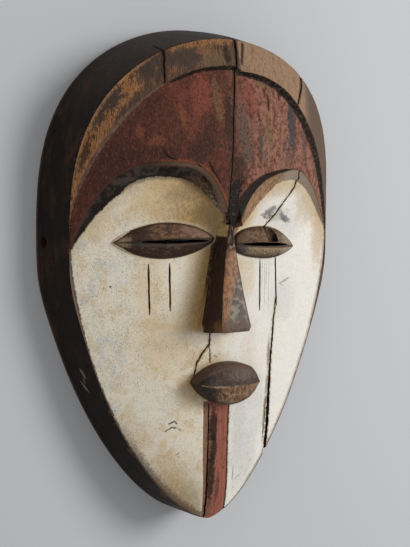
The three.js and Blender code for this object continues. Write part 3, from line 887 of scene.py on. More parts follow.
def white_clay(f):
    """Kaolin over the face: whitest on the right cheek, warm, stained and speckled on the left, with
    some painted shade.
    """
    broad = f.cloud(34, 3, 0.6, seed=1)
    mottle = f.cloud(12, 5, 0.66, seed=2)
    fine = f.cloud(1.3, 4, 0.72, seed=5)
    weave = f.cloud(2.6, 4, 0.75, (1, 1.5, 1), 10)
    colour = f.mix(CLAY_CREAM, CLAY_WHITE, (f.x + 50 * (broad - 0.5)).rise(-20, 26))
    colour.coat(CLAY_OCHRE, f.x.rise(70, -30) * 0.6 * mottle.rise(0.46, 0.66))
    cool = f.cloud(10, 5, 0.7, (1, 1.4, 1), 3).rise(0.5, 0.62)
    colour.coat(CLAY_COOL, 0.65 * cool * (f.x + 20 * (mottle - 0.5)).rise(-62, -88))
    colour.patches(CLAY_STAINS, 1.1, 1.3)

    from_nose = f.measure("from_nose")
    # Beside the nose's left side: a brown stain with a painted shadow of the nose, and orange as
    # painted light bounced off it
    level_with_nose = (f.y + 8 * f.ragged).rise(-45, -37) * f.y.rise(50, 26)
    beside_nose = (from_nose + 10 * (mottle - 0.5)).rise(28, 2) * f.x.rise(4, -6) * level_with_nose
    colour.coat(CLAY_STAIN_AND_SHADE, beside_nose)
    colour.coat(BARE_ORANGE, 0.3 * (from_nose + 4 * f.ragged).rise(8, 1) * beside_nose)
    over_brow = f.measure("over_brow") + 6 * f.ragged
    colour.coat(CLAY_STAIN_AND_SHADE, 0.4 * over_brow.rise(-15, -2))
    colour.coat(BROWN, 0.65 * over_brow.rise(-4.5, -0.5) * f.x.rise(4, -30))
    dirt = f.patch(-26, 66, 26, 18, 20, 1.2, 1.5)
    colour.coat(BROWN, 0.6 * dirt * weave.rise(0.46, 0.60))
    colour.coat(CLAY_STAIN_AND_SHADE, 0.45 * (from_nose + 3 * f.ragged).rise(4, 0.5) * f.x.rise(2, 8))
    # Round the mouth's left side: a stain with a painted shadow cast by the mouth
    from_mouth = f.measure("from_mouth") + 6 * f.ragged
    colour.coat(CLAY_STAIN_AND_SHADE, 0.6 * from_mouth.rise(6, 0) * f.x.rise(20, -10))
    # Dark brown where the nose's left side meets the cheek: dark paint with painted contact shade
    nose_foot_paint_and_shade = (from_nose + 0.8 * f.ragged).rise(2.8, 2.1) * f.x.rise(3, -1)
    colour.coat(DARK_BROWN, 0.92 * nose_foot_paint_and_shade * f.y.rise(-22, 4) * f.y.rise(34, 30))
    from_eye = f.measure("from_eye") + 1.4 * f.ragged
    colour.coat(CLAY_WHITE, 0.22 * from_eye.rise(3, 1.4))
    # Dark line right at the foot of the lids: painted contact shade
    colour.coat(CLAY_STAIN_AND_SHADE, 0.6 * from_eye.rise(1, 0.2))
    low = (f.y + 24 * (mottle - 0.5)).rise(-130, -200) * f.x.rise(8, -12)
    colour.coat(GREY_BROWN, 0.32 * low)

    speck = f.cloud(0.85, 2, 0.6, (1, 1.3, 1), 6)
    crowding = (f.cloud(16, 4, 0.6, seed=7) - 0.0014 * f.x).rise(0.42, 0.66)
    colour.coat(CLAY_SPECK, (0.10 + 0.62 * crowding) * speck.rise(0.56, 0.68))
    colour.coat(CLAY_SPECK, 0.6 * f.cloud(2.2, 2, 0.5, seed=9).rise(0.72, 0.78))
    colour.coat(CLAY_OCHRE, 0.3 * weave.rise(0.52, 0.66))
    colour.shade(0.54 + 0.34 * fine + 0.54 * weave)
    for *oval, strength in CLAY_MARKS:
        colour.coat(BLUE_GREY, strength * f.patch(*oval, 0.8, 2.2))

    edge = f.measure("from_edge") + 3.2 * f.ragged
    low_left = f.y.rise(-100, -150) * f.x.rise(6, -10)
    colour.coat(BROWN, 0.75 * low_left * (edge + 14 * f.frayed).rise(8, 2.5))
    colour.coat(WORN_BROWN, 0.55 * f.x.rise(20, 50) * (edge + 4 * f.frayed).rise(5, 2))
    colour.coat(BROWN, 0.9 * (edge + 2 * f.frayed).rise(1.5, 0.7))
    near_crack = f.measure("from_crack") + 1.6 * f.frayed
    colour.coat(CLAY_STAIN_AND_SHADE, 0.7 * near_crack.rise(2.6, 0.4) * weave.rise(0.44, 0.56))
    colour.coat(BROWN, 0.85 * near_crack.rise(0.7, 0.2) * weave.rise(0.4, 0.5))
    height = 0.20 * f.cloud(3.2, 5, 0.65, seed=8) + 0.22 * fine
    return colour, 0.78 + 0.2 * (fine - 0.5), height


def earth_red(f):
    """Forehead: red earth rubbed dark on the left and pale on the right, with the wood showing."""
    to_right = (f.x + 30 * (f.cloud(22, 4, seed=41) - 0.5)).rise(-10, 34)
    streak = f.cloud(4.2, 5, 0.72, (1, 1.5, 1), 42)
    dark = f.mix(RED_DARK, RED, streak.rise(0.40, 0.60))
    pale = f.mix(RED, RED_PINK, streak.rise(0.36, 0.58))
    colour = f.mix(dark, pale, to_right)
    colour.patches(FOREHEAD_PATCHES, 0.5, 2.8)
    blotch = f.cloud(2.6, 5, 0.72, (1, 1.5, 1), 48)
    colour.coat(DARK_BROWN, 0.6 * blotch.rise(0.54, 0.64))
    fleck = f.cloud(1.9, 4, 0.7, (1, 1.4, 1), 43)
    colour.coat(RED_ORANGE, 0.45 * fleck.rise(0.58, 0.70))
    colour.coat(DARK_BROWN, 0.65 * fleck.rise(0.46, 0.36))
    colour.coat(PALE_CRUST, 0.4 * f.cloud(1.1, 2, seed=44).rise(0.66, 0.74))
    fibre = f.grain(1.1, 45)
    colour.shade(0.54 + 0.22 * fibre + 0.66 * fleck)
    near_crack = f.measure("from_crack") + 2.4 * f.ragged
    colour.coat(DARK_BROWN, 0.7 * near_crack.rise(2, 0.2))
    over_crest = f.measure("over_crest") + 2 * f.ragged
    # Orange along the inner left crest: worn paint with a painted highlight where the edge catches the
    # light
    rim = over_crest.rise(3, 1.2) * f.x.rise(-70, -44) * f.x.rise(2, -5)
    colour.coat(RED_ORANGE, 0.35 * rim)
    # Black above the right crest near the bridge: dark paint with painted shade where the forehead
    # turns down
    wedge = (over_crest + 0.12 * f.x).rise(6, 4.6)
    colour.coat(BLACK, 0.92 * wedge * f.x.rise(3, 7) * f.x.rise(52, 36))
    height = 0.7 * streak + 0.3 * fibre + 0.9 * fleck
    return colour, 0.6 + 0.3 * (fleck - 0.5), height


def bridge_crust(f):
    """Black crust where the brows meet and run down into the nose."""
    crumb = f.cloud(1.8, 4, 0.75, seed=46)
    colour = f.mix(CRUST, PURPLE_GREY, 0.7 * crumb.rise(0.50, 0.62))
    colour.coat(PALE_CRUST, 0.8 * crumb.rise(0.64, 0.70))
    return colour, 0.5 + 0.3 * (crumb - 0.5), 0.9 * crumb


def brow_bevel(f):
    """Bevel under the brow crest: dark paint on the left arch, bare wood on the right one, painted
    light and shade at the crests.
    """
    over = f.measure("over_brow")
    under = 0 - f.measure("over_crest")
    streak = f.cloud(2.4, 5, 0.7, (1, 1.5, 1), 51)
    smoke = f.cloud(8, 4, 0.62, seed=53)
    left = f.mix(BLACK, PURPLE_GREY, smoke.rise(0.40, 0.60))
    left.coat(GREY_BROWN, 0.4 * streak.rise(0.54, 0.68) * f.x.rise(-90, -40))
    left.coat(BLACK, 0.8 * (over + 4 * f.ragged).rise(2.6, 0.6))
    left.coat(RED_DARK, 0.8 * (under + 4 * f.ragged).rise(4, 1.4) * f.x.rise(-55, -80))
    smoky = f.x.rise(-42, -20) * (over + 5 * f.uneven).rise(7, 3)
    left.coat(f.mix(BROWN, OLIVE_TAN, streak.rise(0.42, 0.60)), 0.75 * smoky)
    crusty = f.patch(-12, 66, 7, 10, 30, 0.8, 2.6) + f.patch(-3, 54, 4, 8, 10, 0.8, 2)
    left.coat(PALE_CRUST, 0.65 * crusty * streak.rise(0.44, 0.64))
    # Pink just under the inner left crest: worn paint with a painted highlight along the lit edge
    bared = (under + 2.4 * f.uneven).rise(4.8, 1.8) * f.x.rise(-74, -34)
    left.coat(BARE_PINK, 0.75 * bared)
    right = f.mix(BARE_TAN, WORN_BROWN, streak.rise(0.42, 0.60))
    right.coat(BARE_ORANGE, 0.5 * f.cloud(3, 4, seed=52).rise(0.5, 0.62))
    right.coat(PALE_CRUST, 0.9 * f.x.rise(54, 68) * streak.rise(0.36, 0.50))
    # Black under the right crest and by the bridge: dark paint with a painted shadow under the
    # overhanging crest
    right.coat(BLACK, (under + 3 * f.ragged + 0.15 * f.x).rise(12.2, 11) * f.x.rise(86, 60))
    right.coat(BLACK, 0.95 * (f.x - 0.25 * f.y + 8 * f.ragged).rise(7, 1))
    colour = f.mix(left, right, f.x.rise(2, 5))
    return colour, 0.62 + 0.3 * (streak - 0.5), 0.55 * streak


def crown_band(f):
    """Rim band: wood worn bare at the upper left and right, brown paint left between them."""
    fibre = f.grain(1.2, 61)
    fine = f.cloud(0.75, 3, 0.65, (1, 5, 1.5), 62)
    blotch = f.cloud(5.5, 5, 0.72, (1, 2, 1), 63)
    edge = f.measure("from_edge")
    bare = f.mix(BARE_ORANGE, BARE_TAN, 0.7 * fibre.rise(0.52, 0.66))
    bare.coat(DARK_BROWN, 0.8 * fine.rise(0.50, 0.40))
    bare.coat(DARK_BROWN, 0.75 * blotch.rise(0.56, 0.64))
    pale = f.mix(BARE_TAN, BARE_PINK, fibre.rise(0.44, 0.6))
    pale.coat(WORN_BROWN, 0.6 * fine.rise(0.48, 0.38))
    pale.coat(WORN_BROWN, 0.6 * blotch.rise(0.54, 0.64))
    brown = f.mix(BROWN, WORN_BROWN, fibre.rise(0.48, 0.62))
    brown.coat(PURPLE_GREY, 0.8 * blotch.rise(0.48, 0.58))
    brown.coat(BARE_ORANGE, 0.5 * blotch.rise(0.42, 0.34))
    top_wear = (edge + 12 * f.ragged + 5 * f.frayed).rise(7, 3) * f.x.rise(-50, -44)
    brown.coat(bare, 0.85 * top_wear)
    left_wear = (f.x + 14 * f.ragged).rise(-68, -76) * (edge + 8 * f.ragged).rise(17, 13)
    colour = f.mix(brown, bare, left_wear)
    colour.patches(BAND_PATCHES, 0.4, 2.6)
    arris = (edge + 6 * f.uneven).rise(2.8, 1.0) * f.x.rise(-58, -76)
    colour.coat(ARRIS_ORANGE, 0.6 * arris * fine.rise(0.38, 0.50))
    colour.coat(pale, (f.x + 4 * f.ragged).rise(13, 15))
    colour.coat(GREY_BROWN, 0.85 * (f.x + 6 * f.ragged).rise(82, 92))
    colour.coat(BROWN, 0.45 * (f.x + 9 * f.ragged).rise(88, 96))
    near_crack = f.measure("from_crack") + 2 * f.ragged
    colour.coat(DARK_BROWN, 0.8 * near_crack.rise(1.8, 0.3))
    colour.shade(0.66 + 0.68 * fibre)
    return colour, 0.66 + 0.2 * (fine - 0.5), 0.6 * fibre + 0.3 * fine


def band_bevel(f):
    """Cut edge under the band: rubbed pale with painted light on the left, black with painted shade
    from the crown to the right temple.
    """
    streak = f.cloud(2.6, 4, 0.7, seed=65)
    # Pale on the left: worn paint with painted light on the step facing the lamp; black on the right:
    # dark paint with painted shade
    pale = f.mix(BROWN, BARE_PINK, 0.45 * streak.rise(0.4, 0.6))
    dark = f.mix(BLACK, BROWN, streak.rise(0.5, 0.66))
    colour = f.mix(pale, dark, (f.x + 14 * f.ragged).rise(-60, -44))
    return colour, 0.6 + 0.2 * (streak - 0.5), 0.4 * streak


def chin_stripe(f):
    fibre = f.grain(1.3, 71)
    colour = f.mix(STRIPE_RED, RED_PINK, 0.8 * fibre.rise(0.46, 0.64))
    colour.coat(WORN_BROWN, 0.7 * (f.x + 7 * f.ragged).rise(3, -2) * f.y.rise(-108, -118))
    colour.coat(BARE_PINK, 0.7 * (f.x + 3 * f.ragged).rise(-7.6, -8.6))
    colour.patches(STRIPE_PATCHES, 0.5, 2)
    colour.coat(BARE_PINK, 0.5 * f.cloud(1.6, 3, 0.7, (1, 3, 1), 72).rise(0.6, 0.68))
    colour.coat(BLACK, 0.7 * f.cloud(1.4, 4, 0.7, (1, 4, 1), 73).rise(0.56, 0.64))
    right_edge = (f.measure("beside_stripe") + 1.8 * f.uneven).rise(-1.7, -0.9) * f.x.rise(2, 8)
    colour.coat(BLACK, 0.85 * right_edge)
    return colour, 0.6 + 0.2 * (fibre - 0.5), 0.5 * fibre


def painted_front():
    f = Finish("painted_front")
    over_brow, over_crest = f.measure("over_brow"), f.measure("over_crest")
    onto_bevel, onto_band = f.measure("onto_bevel"), f.measure("onto_band")
    drooping = 2.8 * f.x.rise(-74, -96) + 2.8 * f.x.rise(8, 18) * f.x.rise(62, 44)
    layer = f.over(white_clay(f), brow_bevel(f), (over_brow + 4 * f.uneven + drooping).rise(-0.6, 0.4))
    layer = f.over(layer, earth_red(f), (over_crest + 1.2 * f.uneven).rise(-0.4, 0.1))
    below_bevel = onto_bevel + 3 * f.uneven + 1.4 * f.x.rise(0, 40) - 1.8 * f.x.rise(-40, -60)
    layer = f.over(layer, band_bevel(f), below_bevel.rise(-0.5, 0.2))
    layer = f.over(layer, crown_band(f), (onto_band + 1.6 * f.uneven).rise(0, 0.6))
    crust = f.patch(3, 65, 4, 16, -8, 0.5, 2.4) + f.patch(5, 77, 5, 9, -10, 0.5, 2.6)
    crust = crust + f.patch(3, 50, 2.6, 7, 4, 0.5, 1.2)
    layer = f.over(layer, bridge_crust(f), crust.rise(0, 1))
    stripe = (f.measure("beside_stripe") + 1.6 * f.uneven).rise(0.4, -0.3)
    return f.finished(f.over(layer, chin_stripe(f), stripe))


def side_wood():
    """Side wall: black-brown paint with red-brown showing through and pale scuffs."""
    f = Finish("dark_side")
    broad = f.cloud(15, 5, 0.68, (1, 2, 1), 81)
    colour = f.mix(BLACK, DARK_BROWN, 0.7 * broad.rise(0.46, 0.62))
    colour.coat(RED_DARK, 0.55 * broad.rise(0.56, 0.68) * f.y.rise(-110, 0))
    colour.coat(BLACK, 0.8 * f.y.rise(-40, -110))
    colour.coat(GREY_BROWN, 0.14 * (f.y + 20 * f.ragged).rise(120, 175))
    fibre = f.grain(1.6, 82)
    colour.shade(0.6 + 0.8 * fibre)
    arris = (f.measure("from_edge") + 2.5 * f.ragged).rise(-1.6, -0.6)
    colour.coat(BROWN, 0.8 * arris * f.cloud(12, 4, 0.7, seed=85).rise(0.52, 0.62))
    scuff = f.cloud(2.6, 4, 0.75, (1, 2.6, 1), 83)
    colour.coat(PALE_CRUST, 0.35 * scuff.rise(0.68, 0.76))
    for *oval, strength in WALL_SCUFFS:
        colour.coat(PALE_CRUST, strength * f.patch(*oval, 0.6, 1.4))
    colour.coat(WORN_BROWN, 0.45 * (f.z + 3 * f.ragged).rise(3, 1))
    height = 0.6 * f.cloud(5, 4, 0.65, seed=84) + 0.5 * fibre
    return f.finished((colour, 0.55 + 0.35 * (broad - 0.5), height))


def hollow_wood():
    f = Finish("hollow_wood")
    fibre = f.grain(1.5, 91)
    broad = f.cloud(24, 4, 0.6, seed=92)
    colour = f.mix(BROWN, WORN_BROWN, fibre.rise(0.36, 0.66))
    colour.coat(DARK_BROWN, 0.65 * broad.rise(0.48, 0.66))
    return f.finished((colour, 0.7 + 0.2 * (fibre - 0.5), 0.6 * fibre))


def broken_wood():
    """Inside the cracks, the slits and the splintered lid."""
    f = Finish("broken_wood")
    fibre = f.grain(0.9, 95)
    colour = f.mix(BLACK, BROWN, fibre.rise(0.5, 0.66))
    splinters = f.patch(52, 36, 9, 8) * f.z.rise(50, 54)
    colour.coat(BROWN, 0.7 * splinters)
    colour.coat(BARE_TAN, 0.6 * splinters * fibre.rise(0.58, 0.66))
    return f.finished((colour, 0.8 + 0.2 * (fibre - 0.5), 0.6 * fibre))


def cut_lines():
    """Inside the incised lines under the eyes."""
    f = Finish("cut_lines")
    fibre = f.cloud(2, 3, 0.6, (1, 3, 1), 97)
    colour = f.mix(DARK_BROWN, WORN_BROWN, fibre.rise(0.4, 0.6))
    return f.finished((colour, 0.8 + 0.1 * (fibre - 0.5), 0.3 * fibre))


def lid_paint():
    f = Finish("eyelids")
    across = f.measure("across_lid")
    v = across + 0.3 * f.ragged
    streak = f.cloud(3.0, 5, 0.7, (1.7, 1, 1), 101)
    fine = f.cloud(1.0, 4, 0.7, (1.3, 1, 1), 102)
    upper = f.mix(BROWN, WORN_BROWN, streak.rise(0.42, 0.58))
    upper.coat(BARE_ORANGE, 0.5 * streak.rise(0.52, 0.62) * f.patch(-56, 42, 20, 7, 0, 1, 1.5))
    upper.coat(DARK_BROWN, 0.75 * streak.rise(0.47, 0.38))
    upper.coat(DARK_BROWN, 0.85 * (f.x + 12 * f.ragged).rise(-58, -70))
    # Pink and pale grey along the left slit's upper edge: painted highlights where the rolled lid edge
    # catches the light
    upper.coat(BARE_PINK, 0.6 * f.patch(-22, 41, 15, 3.6, -16, 0.8, 1.8))
    upper.coat(PALE_CRUST, 0.35 * f.patch(-26, 38, 14, 2, 0, 1, 2) * fine.rise(0.5, 0.6))
    upper.coat(OLIVE_TAN, 0.6 * f.x.rise(10, 24) * streak.rise(0.50, 0.60))
    upper.coat(BROWN, 0.45 * f.x.rise(30, 20) * f.x.rise(4, 12))
    # Left lower lid: grey and a pale strip near the slit, dark lower down: painted light and painted
    # shade of the lid turning down
    left_low = f.mix(DARK_BROWN, GREY_BROWN, 0.55 * v.rise(-0.34, -0.12))
    left_low.coat(WORN_BROWN, 0.5 * f.patch(-50, 29, 22, 5, 0, 1, 2) * streak.rise(0.48, 0.6))
    left_low.coat(PALE_CRUST, 0.4 * v.rise(-0.2, -0.08) * f.x.rise(-46, -24))
    right_low = f.mix(OLIVE_TAN, WORN_BROWN, streak.rise(0.50, 0.62))
    right_low.coat(PALE_CRUST, 0.6 * fine.rise(0.52, 0.42))
    right_low.coat(DARK_BROWN, 0.75 * fine.rise(0.56, 0.62))
    right_low.coat(CLAY_CREAM, 0.7 * fine.rise(0.42, 0.34))
    right_low.coat(BARE_TAN, 0.7 * v.rise(-0.42, -0.16) * f.x.rise(24, 34))
    # Darker towards the right lower lid's lower edge: painted shade where the lid turns down
    right_low.coat(DARK_BROWN, 0.7 * (v + 0.2 * f.x.rise(50, 30)).rise(-0.45, -0.85))
    lower = f.mix(left_low, right_low, f.x.rise(2, 6))
    colour = f.mix(lower, upper, v.rise(-0.06, 0.06))
    colour.coat(PALE_CRUST, 0.6 * (f.x + 10 * f.ragged).rise(60, 68) * fine.rise(0.40, 0.52))
    colour.coat(BLUE_GREY, 0.85 * f.patch(18, 26, 7, 6, 0, 0.8, 1.4) * v.rise(0.3, -0.1))
    colour.coat(BARE_TAN, 0.75 * f.patch(-87, 35, 7, 5, 0, 0.8, 2.4))
    # Dark rim just inside each lid's foot: painted contact shade where the lid meets the face
    worn = (f.measure("from_eye") + 2 * f.ragged).rise(-2.4, -0.4)
    colour.coat(DARK_BROWN, 0.75 * worn)
    colour.coat(BLACK, 0.7 * (across * across).rise(0.05, 0.01))
    splinter = f.patch(52, 37, 9, 7, 0, 0.6, 2)
    colour.coat(BARE_TAN, 0.45 * splinter * fine.rise(0.50, 0.58))
    colour.shade(0.5 + fine)
    bared = 0.74 + 0.26 * f.x.rise(-96, -74)
    clay = f.mix(CLAY_CREAM, CLAY_OCHRE, streak.rise(0.44, 0.60))
    edge = bared * bared + 0.3 * f.uneven
    colour.coat(clay, (across * across).rise(edge, edge + 0.06) * f.x.rise(-60, -66))
    return f.finished((colour, 0.6 + 0.3 * (streak - 0.5), 0.5 * streak + 0.4 * fine), LID_SHEEN)


def nose_facet():
    f = Finish("nose_front")
    fibre = f.grain(1.5, 111)
    orange = f.mix(BARE_ORANGE, WORN_BROWN, 0.5 * fibre.rise(0.46, 0.62))
    orange.coat(BROWN, 0.75 * f.cloud(2.6, 4, 0.7, (1, 2, 1), 112).rise(0.46, 0.58))
    scratch = f.cloud(0.9, 3, 0.6, (1, 7, 1), 113)
    grey = f.mix(PURPLE_GREY, GREY_BROWN, scratch.rise(0.40, 0.54))
    grey.coat(PALE_CRUST, 0.55 * f.cloud(6, 4, seed=114).rise(0.46, 0.62))
    edge = 0 - f.measure("from_nose")
    colour = f.mix(orange, grey, (f.x - 0.32 * f.y + 4 * f.ragged).rise(1.2, 3.2))
    colour.coat(BROWN, 0.7 * (f.y + 6 * f.ragged).rise(-26, -34))
    colour.coat(DARK_BROWN, 0.9 * (edge + 1.6 * f.ragged).rise(3.1, 2.3) * f.x.rise(-2, 3))
    crumb = f.cloud(1.7, 4, 0.75, (1, 2.2, 1), 115)
    crust = f.mix(BLACK, WORN_BROWN, crumb.rise(0.50, 0.60))
    crust.coat(PALE_CRUST, 0.8 * crumb.rise(0.58, 0.66))
    top = (f.y + 8 * f.ragged + 6 * f.frayed).rise(25, 30)
    colour.coat(crust, top)
    rough = 0.46 + 0.3 * (scratch - 0.5) + 0.3 * top
    height = 0.4 * fibre + 0.15 * scratch + 0.5 * top * crumb
    return f.finished((colour, rough, height), NOSE_SHEEN)


def nose_flank():
    f = Finish("nose_side")
    fibre = f.grain(1.6, 121)
    colour = f.mix(DARK_BROWN, BROWN, 0.35 * fibre.rise(0.46, 0.62))
    foot = (f.z + 8 * f.ragged).rise(67, 61)
    spots = f.cloud(3, 4, 0.7, (1, 2.5, 1), 122).rise(0.52, 0.58)
    colour.coat(WORN_BROWN, 0.55 * foot * spots)
    colour.coat(BARE_ORANGE, 0.35 * (f.y + 9 * f.ragged).rise(-28, -33) * f.z.rise(72, 80))
    crumb = f.cloud(1.6, 3, seed=123)
    colour.coat(PALE_CRUST, 0.6 * crumb.rise(0.70, 0.76))
    clay = f.mix(CLAY_STAIN_AND_SHADE, CLAY_OCHRE, crumb.rise(0.44, 0.60))
    colour.coat(clay, (f.y + 3 * f.ragged).rise(36.5, 38.5) * f.z.rise(76, 73))
    return f.finished((colour, 0.5 + 0.3 * (fibre - 0.5), 0.5 * fibre))


def lip_wood():
    f = Finish("lips")
    v = f.measure("across_lip") + 0.16 * f.ragged
    stripe = f.cloud(2.0, 4, 0.65, (1, 5, 1), 131)
    blotch = f.cloud(4, 4, 0.7, seed=132)
    upper = f.mix(DARK_BROWN, BROWN, 0.45 * blotch.rise(0.42, 0.62))
    upper.coat(DARK_BROWN, 0.6 * stripe.rise(0.52, 0.40))
    # Grey patch on the upper lip: grey paint with a painted sheen
    upper.coat(GREY_BROWN, 0.8 * f.patch(16, -76, 14, 7, 0, 1, 2.4))
    flake = f.cloud(1.2, 3, 0.7, (1, 3, 1), 134).rise(0.6, 0.68)
    upper.coat(PALE_CRUST, 0.4 * flake * f.x.rise(2, 12))
    lower = f.mix(BARE_TAN, WORN_BROWN, blotch.rise(0.38, 0.54))
    lower.coat(BARE_PINK, 0.5 * (f.x + 8 * f.ragged).rise(12, 22))
    lower.coat(DARK_BROWN, 0.75 * stripe.rise(0.48, 0.40))
    # Black on the left part of the lips: dark crust with painted shade on the side away from the lamp
    lower.coat(BLACK, 0.9 * (f.x + 10 * f.ragged + 8 * f.frayed).rise(-1, -12))
    upper.coat(BLACK, 0.75 * (f.x + 8 * f.ragged).rise(-8, -18))
    ridge = v.rise(-0.10, -0.03) * v.rise(0.08, 0.03)
    colour = f.mix(lower, upper, v.rise(-0.05, 0.05))
    colour.coat(BARE_TAN, 0.9 * ridge * blotch.rise(0.58, 0.44) * f.x.rise(22, 0))
    # Brown and dark brown along the lips' upper and lower edges: painted contact shade
    colour.coat(BROWN, 0.8 * v.rise(0.66, 0.8))
    colour.coat(DARK_BROWN, 0.7 * v.rise(-0.7, -0.95))
    colour.coat(BARE_ORANGE, 0.4 * f.cloud(1.8, 3, 0.7, seed=133).rise(0.6, 0.68))
    rough = 0.55 + 0.3 * (stripe - 0.5)
    return f.finished((colour, rough, 0.7 * stripe + 0.3 * blotch), LIP_SHEEN)


def as_object(bm, name):
    mesh = bpy.data.meshes.new(name)
    bm.to_mesh(mesh)
    bm.free()
    piece = bpy.data.objects.new(name, mesh)
    bpy.context.scene.collection.objects.link(piece)
    return piece


def carved_block(name, columns, rows, surface, rings, finish, side_finish=None):
    """Closed solid from a grid moved onto a surface. Its border is drawn on through the rings, each a
    function of the border's own points, and the last ring is capped."""
    if side_finish is None:
        side_finish = finish
    bm = bmesh.new()
    bmesh.ops.create_grid(bm, x_segments=columns, y_segments=rows, size=0.5)
    start = bm.verts.layers.float_vector.new("start")
    for vert in bm.verts:
        column = round((vert.co.x + 0.5) * columns)
        row = round((vert.co.y + 0.5) * rows)
        vert.co = surface(column, row)
        vert[start] = vert.co
    bmesh.ops.remove_doubles(bm, verts=bm.verts, dist=WELD)
    for face in bm.faces:
        face.material_index = finish
    border = [edge for edge in bm.edges if edge.is_boundary]
    for ring in rings:
        drawn = bmesh.ops.extrude_edge_only(bm, edges=border)["geom"]
        for item in drawn:
            if isinstance(item, bmesh.types.BMVert):
                item.co = ring(item[start])
            elif isinstance(item, bmesh.types.BMFace):
                item.material_index = side_finish
        border = [item for item in drawn if isinstance(item, bmesh.types.BMEdge) and item.is_boundary]
    cap = bmesh.ops.contextual_create(bm, geom=border)["faces"]
    for face in cap:
        face.material_index = side_finish
    bmesh.ops.recalc_face_normals(bm, faces=bm.faces)
    return with_finishes(as_object(bm, name))


def with_finishes(block):
    for finish in finishes:
        block.data.materials.append(finish)
    return block


def wall_ring(share):
    """Moves a point of the front edge down the side wall, share 1 being the back rim."""

    def move(start):
        x, y, z = start
        outwards = edge_slope(x, y).normalized()
        out = along_outline(WALL_SPREAD, y) * share * (1 + WALL_BULGE * (1 - share))
        drop = z * share
        radius = edge_radius(x, y)
        if drop < radius:
            down, inwards = rounded(drop, radius)
            out -= inwards
            drop = down
        fade = smoothstep(0, MARKS_START, share) * smoothstep(1, MARKS_END, share)
        near = WALL_DENTS["crowding"]
        lump = wobble(x * near, y * near, WALL_DENTS["size"], z * share / WALL_DENTS["down"])
        out += fade * WALL_DENTS["height"] * lump
        return Vector((x + outwards.x * out, y + outwards.y * out, z - drop))

    return move


def outer_body():
    grid = FrontGrid()
    rows = sum(ROWS)

    def worn_surface(column, row):
        point = grid.surface(column, row)
        x, y, z = point
        radius = edge_radius(x, y)
        inset = max(inset_at(x, y), 0)
        if inset < radius and row not in (0, rows) and column not in (0, COLUMNS):
            inwards, down = rounded(inset, radius)
            shift = edge_slope(x, y).normalized() * (inset - inwards)
            return Vector((x + shift.x, y + shift.y, z - down))
        return point

    rings = [wall_ring((k / WALL_RINGS) ** WALL_RING_CURVE) for k in range(1, WALL_RINGS + 1)]
    return carved_block("mask", COLUMNS, rows, worn_surface, rings, PAINT, WALL_WOOD)


def straight_ring(z):
    """Draws a border point straight up or down to a level."""
    return lambda start: Vector((start[0], start[1], z))


def hollow_z(x, y):
    behind_face = cheek_z(x, y) - FACE_THICKNESS
    behind_forehead = forehead_z(x, y) - FOREHEAD_THICKNESS
    return lerp(behind_face, behind_forehead, smoothstep(*CEILING_CHANGE, y))


def gouge_marks(x, y):
    """Scooped facets that the gouge left in the hollow."""
    return abs(lumps(GOUGE_SCOOPS, x, y * GOUGE_CROWDING)) + lumps(GOUGE_RIPPLES, x, y)


def hollow():
    columns, rows = HOLLOW_GRID
    half_width = HALF_WIDTH - WALL

    def surface(column, row):
        x = -half_width * math.cos(math.pi * column / columns)
        y = lerp(chin_y(x, WALL), crown_y(x, WALL), row / rows)
        if column in (0, columns):
            y = WIDEST_Y
        return Vector((x, y, hollow_z(x, y) - gouge_marks(x, y)))

    def opening(share):
        def move(start):
            x, y, z = start
            outwards = edge_slope(x, y).normalized()
            out = HOLLOW_SPREAD_SHARE * along_outline(WALL_SPREAD, y) * share
            return Vector((x + outwards.x * out, y + outwards.y * out, lerp(z, BELOW_RIM, share)))

        return move

    rings = [opening(k / SIDE_RINGS) for k in range(1, SIDE_RINGS + 1)]
    return carved_block("hollow", columns, rows, surface, rings, HOLLOW_WOOD)


def eye_bounds(eye):
    ends = sorted((eye["inner"][0], eye["outer"][0]))
    return ends[0], ends[1]


def eye_axis(eye, x):
    (x0, y0), (x1, y1) = eye["inner"], eye["outer"]
    return lerp(y0, y1, (x - x0) / (x1 - x0))


def eye_opening(eye, x):
    """How open the almond is at x: 0 at its two ends and 1 in the middle."""
    low, high = eye_bounds(eye)
    u = (2 * x - low - high) / (high - low)
    if abs(u) >= 1:
        return 0
    towards_nose = (eye["inner"][0] - eye["outer"][0]) * u > 0
    return (1 - u * u) ** (eye["bluntness"] if towards_nose else LID_OUTER_BLUNTNESS)


def lid_share(eye, x, y):
    """Height across the almond: -1 at its lower edge, 0 at the slit, 1 at its upper edge."""
    away = y - eye_axis(eye, x)
    reach = eye_opening(eye, x) * (eye["up"] if away > 0 else eye["down"])
    return away / max(reach, 1e-3)


def eyelids(name, eye):
    columns, rows = LID_GRID
    low, high = eye_bounds(eye)

    def surface(column, row):
        x = lerp(low, high, (1 - math.cos(math.pi * column / columns)) / 2)
        open_share = 0 if column in (0, columns) else eye_opening(eye, x)
        v = 2 * row / rows - 1
        y = eye_axis(eye, x) + v * open_share * (eye["up"] if v > 0 else eye["down"])
        swell = (1 - v * v) ** LID_CURVE[0] * open_share ** LID_CURVE[1]
        cleft = LID_CLEFT["depth"] * math.exp(-((v / LID_CLEFT["half"]) ** 2)) * open_share
        uneven = lumps(LID_MARKS, x, y) * open_share
        return Vector((x, y, cheek_z(x, y) + LID_EDGE + LID_SWELL * swell - cleft + uneven))

    return carved_block(name, columns, rows, surface, [straight_ring(LID_FOOT_Z)], LID)


